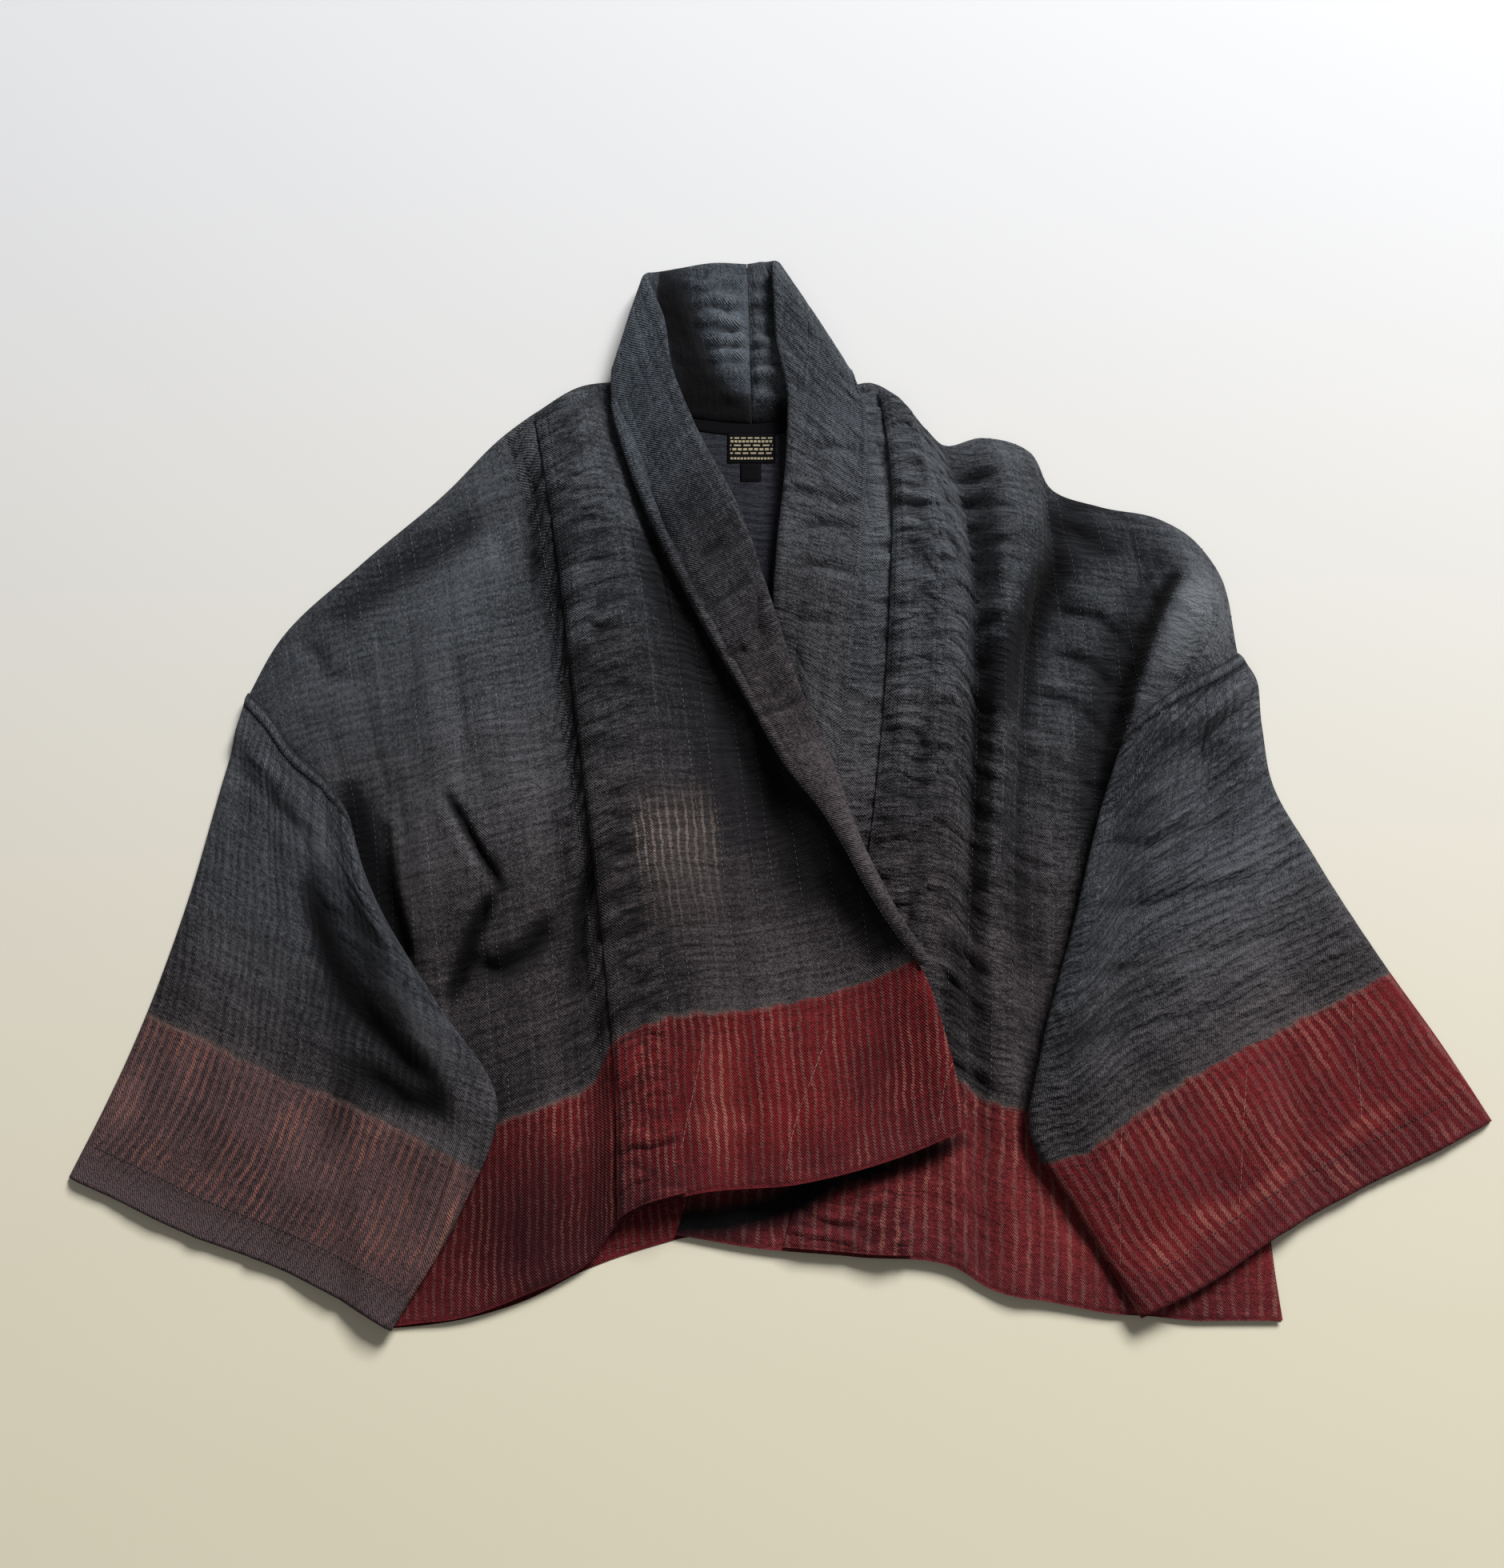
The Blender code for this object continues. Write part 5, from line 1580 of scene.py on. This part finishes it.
rightSleeve = {
    "pitch": 2.9, "grain": 0.4, "reach": 10.0, "ease": 8.0, "seat": 0.6, "seed": 21,
    "dye": [
        ((-300, -200), (80, 90), -0.20),
        # painted highlight on the lit rolled band
        ([(-352, -38), (-322, -100), (-284, -160), (-244, -222), (-222, -262)], 11, 0.32),
        # painted shade in the valley beside it
        ([(-349, -92), (-330, -142), (-307, -178), (-270, -216), (-240, -240)], 9, -0.85),
        ([(-300, -226), (-268, -246), (-238, -252)], 11, -0.80),
        ((-380, -20), (40, 50), 0.10),
        ([(-300, -266), (-270, -264), (-218, -283)], 11, 0.42),
        ([(-232, -286), (-236, -330), (-258, -370)], 10, 0.36),
        ((-330, -290), (30, 26), 0.30),
        ([(-470, -228), (-476, -262)], 12, 0.34),
    ],
    "relief": {
        "rest": 0.8, "pucker": 0.8, "puckerLength": 34.0, "puckerPitch": 10.0,
        "rib": 0.5, "ribPitch": 16.8, "dent": 1.3, "fold": 0.8, "foldPitch": 15.0, "lift": 1.4,
        "borderShare": 0.08,
    },
    "creases": [
        ([(-223, -272), (-239, -327), (-260, -382)], 3.5, 2),
        ([(-232, -278), (-247, -330), (-268, -384)], 3, -1.5),
        ([(-352, -38), (-322, -100), (-284, -160), (-244, -222), (-222, -262)], 10, 3),
        ([(-300, -210), (-318, -250), (-340, -300)], 9, -3),
        ([(-349, -92), (-330, -142), (-307, -178), (-270, -216), (-240, -240)], 9, -6),
        ([(-300, -226), (-268, -246), (-238, -252)], 9, -6),
    ],
}
rightSleeveLaid = laySleeve("right_sleeve_cloth", rightSleeveLines, rightSleeve, rightSleeveCloth)
finishPiece(rightSleeveLaid["piece"], ["right_sleeve"])

leftSleeveLines = {
    "overarm fold": [
        (345, 85, 0), (357, 66, 0), (361, 30, 0), (366, -10, 0), (394, -66, 0), (446, -154, 0),
        (482, -209, 0), (513, -261, 0),
    ],
    "outer": [
        (331, 75, 0), (343, 30, 2), (346, -40, 2), (362, -100, 2), (408, -178, 2),
        (440, -235, 2), (470, -283, 1),
    ],
    "middle": [
        (306, 61, 0), (309, 4, 3), (298, -80, 4), (308, -148, 3), (352, -212, 3),
        (384, -268, 3), (418, -307, 1),
    ],
    "inner": [
        (281, 45, 0), (273, -14, 4), (252, -96, 6), (248, -180, 5), (286, -248, 5),
        (320, -300, 3), (350, -342, 1),
    ],
    "ridge": [
        (260, 27, 0), (246, -28, 6), (226, -112, 13), (203, -205, 14), (210, -276, 10),
        (254, -336, 4), (300, -374, 2),
    ],
    "underarm fold": [
        (252, 16, 0), (234, -36, 4), (211, -122, 8), (186, -212, 8), (177, -268, 5),
        (208, -322, 3), (253, -397, 1),
    ],
}

leftSleeve = {
    "pitch": 2.9, "grain": 0.5, "reach": 10.0, "ease": 8.0, "seat": 0.9, "seed": 22,
    "dye": [
        ((350, -80), (90, 120), 0.32),
        # painted shade in the deep fold below the armhole and beside the underarm fold
        ([(262, 10), (290, 18), (322, 14), (350, -6)], 14, -0.35),
        ((215, -240), (40, 70), -0.16),
        ([(288, -325), (321, -325), (363, -294)], 9, 0.30),
        ([(400, -275), (420, -262), (448, -249)], 8, 0.26),
        ([(258, -366), (270, -352), (292, -342)], 15, 0.30),
    ],
    "relief": {
        "rest": 1.0, "pucker": 1.4, "puckerLength": 46.0, "puckerPitch": 7.6,
        "rib": 0.7, "ribPitch": 8.4, "dent": 1.4, "fold": 0.5, "foldPitch": 15.0, "lift": 1.4,
        "borderShare": 0.08,
    },
    "creases": [
        ([(222, -60), (270, -62), (330, -40)], 5, -2.5),
        ([(215, -110), (275, -104), (350, -84)], 5, -2.5),
        ([(205, -160), (280, -148), (380, -122)], 5, -2.5),
        ([(196, -205), (270, -192), (350, -170)], 5, -2),
    ],
}
leftSleeveLaid = laySleeve("left_sleeve_cloth", leftSleeveLines, leftSleeve, leftSleeveCloth)
finishPiece(leftSleeveLaid["piece"], ["left_sleeve"])
print("sleeves laid")


# Stitches

# The row and column of each place on the line where u is the given one.
def rowsAtU(laid, u, vLow, vHigh):
    rows = np.arange(laid["u"].shape[0])
    columns = np.arange(laid["u"].shape[1])
    sign = 1.0 if laid["u"][0, -1] > laid["u"][0, 0] else -1.0
    column = np.array([np.interp(u * sign, laid["u"][r] * sign, columns, -1, -1) for r in rows])
    height = readBetween(laid["v"][..., None], rows.astype(float), np.maximum(column, 0))[:, 0]
    inside = (column > 1.5) & (column < columns[-1] - 1.5) & (height > vLow) & (height < vHigh)
    return rows[inside].astype(float), column[inside]


# The rows of a table at the distances where, by straight lines between the distances knot.
def readAlong(where, knot, table):
    return np.stack([np.interp(where, knot, table[:, k]) for k in range(table.shape[1])], axis=1)


# Each stitch is a slim spindle: two rings of four points and a point at either end.
def stitchMesh(name, runs, size, material):
    places, ways, ups, marks = [], [], [], []
    for laid, row, column in runs:
        if len(row) < 4:
            continue
        line = readBetween(laid["top"], row, column)
        upward = readBetween(normals(laid["top"]), row, column)
        mark = [readBetween(laid[k][..., None], row, column)[:, 0] for k in ("u", "v", "dye")]
        knot = distances(line)
        where = np.arange(size["pitch"] / 2, knot[-1] - size["pitch"] / 2, size["pitch"])
        if len(where) < 2:
            continue
        places.append(readAlong(where, knot, line))
        ahead, behind = readAlong(where + 1.0, knot, line), readAlong(where - 1.0, knot, line)
        ways.append(ahead - behind)
        ups.append(readAlong(where, knot, upward))
        marks.append(readAlong(where, knot, np.stack(mark, axis=1)))
    place, way, up, mark = (np.concatenate(x) for x in (places, ways, ups, marks))
    way /= np.maximum(np.linalg.norm(way, axis=1, keepdims=True), 1e-9)
    up /= np.maximum(np.linalg.norm(up, axis=1, keepdims=True), 1e-9)
    across = np.cross(way, up)
    half, thick = size["length"] / 2, size["thick"] / 2
    place = place + up * thick * 0.7
    ring = [(0, 1), (1, 0), (0, -1), (-1, 0)]
    points = [place - way * half - up * thick]
    for along in (-0.5, 0.5):
        points += [place + way * half * along + across * thick * a + up * thick * b for a,
                   b in ring]
    points.append(place + way * half - up * thick)
    points = np.stack(points, axis=1)
    base = np.arange(len(place))[:, None] * 10
    sides = [[1 + k, 1 + (k + 1) % 4, 5 + (k + 1) % 4, 5 + k] for k in range(4)]
    tips = [[0, 1 + (k + 1) % 4, 1 + k] for k in range(4)]
    tips += [[9, 5 + k, 5 + (k + 1) % 4] for k in range(4)]
    faces = sum([(base + np.array(f)).tolist() for f in sides + tips], [])
    marks = np.repeat(np.insert(mark, 2, 0.0, axis=1), 10, axis=0)
    piece = addPiece(name, points.reshape(-1, 3), faces, marks, material)
    finishPiece(piece, [])


quilting = {
    "spacing": 19.0, "uneven": 5.0,
    "above": 128.0,  # the height of the border, which isn't quilted
    "size": {"pitch": 4.6, "length": 2.5, "thick": 0.5},
}
seams = {
    "size": {"pitch": 3.2, "length": 2.6, "thick": 0.7}, "armholeRows": (1.8, 8.5), "cuffRow": 27.0,
    "tuckRows": (0.10, 0.24, 0.90), "collarRow": 0.05,  # shares of the width
}


def quiltRuns(laid, seed):
    low, high = laid["u"].min() + 8, laid["u"].max() - 8
    count = int((high - low) / quilting["spacing"])
    shifts = np.random.default_rng(seed).uniform(-1, 1, count) * quilting["uneven"]
    return [
        (laid, *rowsAtU(laid, low + (k + 0.5) * quilting["spacing"] + shifts[k],
                        quilting["above"], 2000.0))
        for k in range(count)
    ]


def alongColumn(laid, share):
    rows = np.arange(2.0, laid["u"].shape[0] - 2.0)
    return laid, rows, np.full(rows.shape, share * (laid["u"].shape[1] - 1))


# A row of stitches at the given distance from the first row, across the piece.
def besideFirstRow(laid, far):
    columns = np.arange(2.0, laid["u"].shape[1] - 2.0)
    down = fromFirstRow(laid["top"])[:, columns.astype(int)]
    row = np.array([np.interp(far, down[:, k],
                              np.arange(down.shape[0])) for k in range(len(columns))])
    return laid, row, columns


# A row of stitches at the given height above the hem or cuff.
def atHeight(laid, height):
    columns = np.arange(2.0, laid["u"].shape[1] - 2.0)
    up = laid["v"][::-1, columns.astype(int)]
    last = laid["u"].shape[0] - 1
    row = np.array([last - np.interp(height, up[:, k],
                                     np.arange(last + 1)) for k in range(len(columns))])
    return laid, row, columns


# A thread over the places of a zigzag, each taken at the piece's nearest point.
def throughPlaces(laid, places):
    line = np.array([(x, y, 0) for x, y in places], float)
    even = evenlyAlong(line, max(6, round(distances(line)[-1] / 7.0)))
    top = laid["top"]
    found = [np.argmin(np.hypot(top[..., 0] - x, top[..., 1] - y)) for x, y in even[:, :2]]
    share = np.linspace(-1, 1, len(found))
    nearest = np.unravel_index(found, laid["u"].shape)
    row, column = (np.polyval(np.polyfit(share, k, 3), share) for k in nearest)
    return laid, row, column


stitchMesh("left_front_quilting", quiltRuns(leftLaid, 61), quilting["size"], quiltThread)
stitchMesh("right_front_quilting", quiltRuns(rightLaid, 62), quilting["size"], quiltThread)
tucksLaid, sleevesLaid = (leftTuckLaid, rightTuckLaid), (leftSleeveLaid, rightSleeveLaid)
tuckRuns = [alongColumn(laid, share) for laid in tucksLaid for share in seams["tuckRows"]]
stitchMesh("tuck_stitching", tuckRuns, seams["size"], seamThread)
armholeRuns = [besideFirstRow(laid, far) for laid in sleevesLaid for far in seams["armholeRows"]]
stitchMesh("armhole_stitching", armholeRuns, seams["size"], seamThread)
collarRuns = [alongColumn(laid, seams["collarRow"]) for laid in (leftCollarLaid, rightCollarLaid)]
stitchMesh("collar_stitching", collarRuns, seams["size"], seamThread)
cuffRuns = [atHeight(laid, seams["cuffRow"]) for laid in sleevesLaid]
stitchMesh("cuff_stitching", cuffRuns, seams["size"], seamThread)

# Pale threads sewn in long zigzags over the left cuff and the right hem
zigzags = [
    (leftSleeveLaid, [(240, -262), (237, -366)]),
    (leftSleeveLaid, [(334, -220), (322, -344)]),
    (leftSleeveLaid, [(415, -176), (418, -264)]),
    (rightLaid, [(34, -196), (18, -238), (11, -253), (3, -297)]),
    (rightLaid, [(120, -220), (109, -266)]),
    (rightLaid, [(-57, -203), (-73, -283)]),
]
zigzagSize = {"pitch": 5.0, "length": 5.0, "thick": 0.28}
stitchMesh("zigzag_threads", [throughPlaces(*zigzag) for zigzag in zigzags], zigzagSize, paleThread)
print("stitches sewn")


# Floor, light and camera

floor = {"size": 8.0, "warmLitTint": (0.68, 0.625, 0.475, 1), "coolLitTint": (0.635, 0.635, 0.640, 1)}


def makeFloor():
    half = floor["size"] / 2
    mesh = bpy.data.meshes.new("studio_floor")
    mesh.from_pydata([(-half, -half, 0), (half, -half, 0), (half, half, 0), (-half, half, 0)], [],
                     [(0, 1, 2, 3)])
    obj = bpy.data.objects.new("studio_floor", mesh)
    bpy.context.scene.collection.objects.link(obj)
    material = bpy.data.materials.new("pale paper")
    material.use_nodes = True
    tree = material.node_tree
    apart = addNode(tree, "ShaderNodeSeparateXYZ")
    plug(tree, addNode(tree, "ShaderNodeTexCoord").outputs["Object"], apart, 0)
    # painted light tint: warm near the camera, cool far off, for the warm room light and the window
    colour = mixNode(tree, stepNode(tree, apart.outputs[1], -0.55, 0.55), floor["warmLitTint"],
                     floor["coolLitTint"])
    plug(tree, colour, tree.nodes["Principled BSDF"], "Base Color")
    tree.nodes["Principled BSDF"].inputs["Roughness"].default_value = 0.9
    tree.nodes["Principled BSDF"].inputs["Specular IOR Level"].default_value = 0.1
    mesh.materials.append(material)


def addLight(name, place, target, size, power, colour):
    light = bpy.data.lights.new(name, "AREA")
    light.shape = "RECTANGLE"
    light.size, light.size_y = size
    light.energy = power
    light.color = colour
    obj = bpy.data.objects.new(name, light)
    bpy.context.scene.collection.objects.link(obj)
    obj.location = place
    way = np.array(target) - np.array(place)
    flat = math.hypot(way[0], way[1])
    obj.rotation_euler = (math.atan2(flat, -way[2]), 0, math.atan2(way[1], way[0]) - math.pi / 2)


makeFloor()
addLight("window", (2.1, 3.8, 3.2), (0, 0, 0), (2.0, 1.8), 510.0, (0.985, 0.99, 1.0))
addLight("room", (-1.2, -2.6, 3.4), (0, 0, 0), (3.0, 3.0), 13.0, (1.0, 0.95, 0.86))

world = bpy.data.worlds.new("soft room")
world.use_nodes = True
world.node_tree.nodes["Background"].inputs["Color"].default_value = (0.95, 0.97, 1.0, 1)
world.node_tree.nodes["Background"].inputs["Strength"].default_value = 0.14
bpy.context.scene.world = world
bpy.context.scene.view_settings.view_transform = "Standard"

view = {"target": (-0.022, -0.013, 0.0), "distance": 1.3, "tilt": math.radians(10), "focal": 2166.7}
camera = bpy.data.cameras.new("camera")
camera.sensor_width = 36.0  # the picture's long side
camera.lens = view["focal"] * camera.sensor_width / 1960
cameraObject = bpy.data.objects.new("camera", camera)
bpy.context.scene.collection.objects.link(cameraObject)
cameraObject.location = (
    view["target"][0],
    view["target"][1] - view["distance"] * math.sin(view["tilt"]),
    view["distance"] * math.cos(view["tilt"]),
)
cameraObject.rotation_euler = (view["tilt"], 0, 0)
bpy.context.scene.camera = cameraObject
print("studio set")
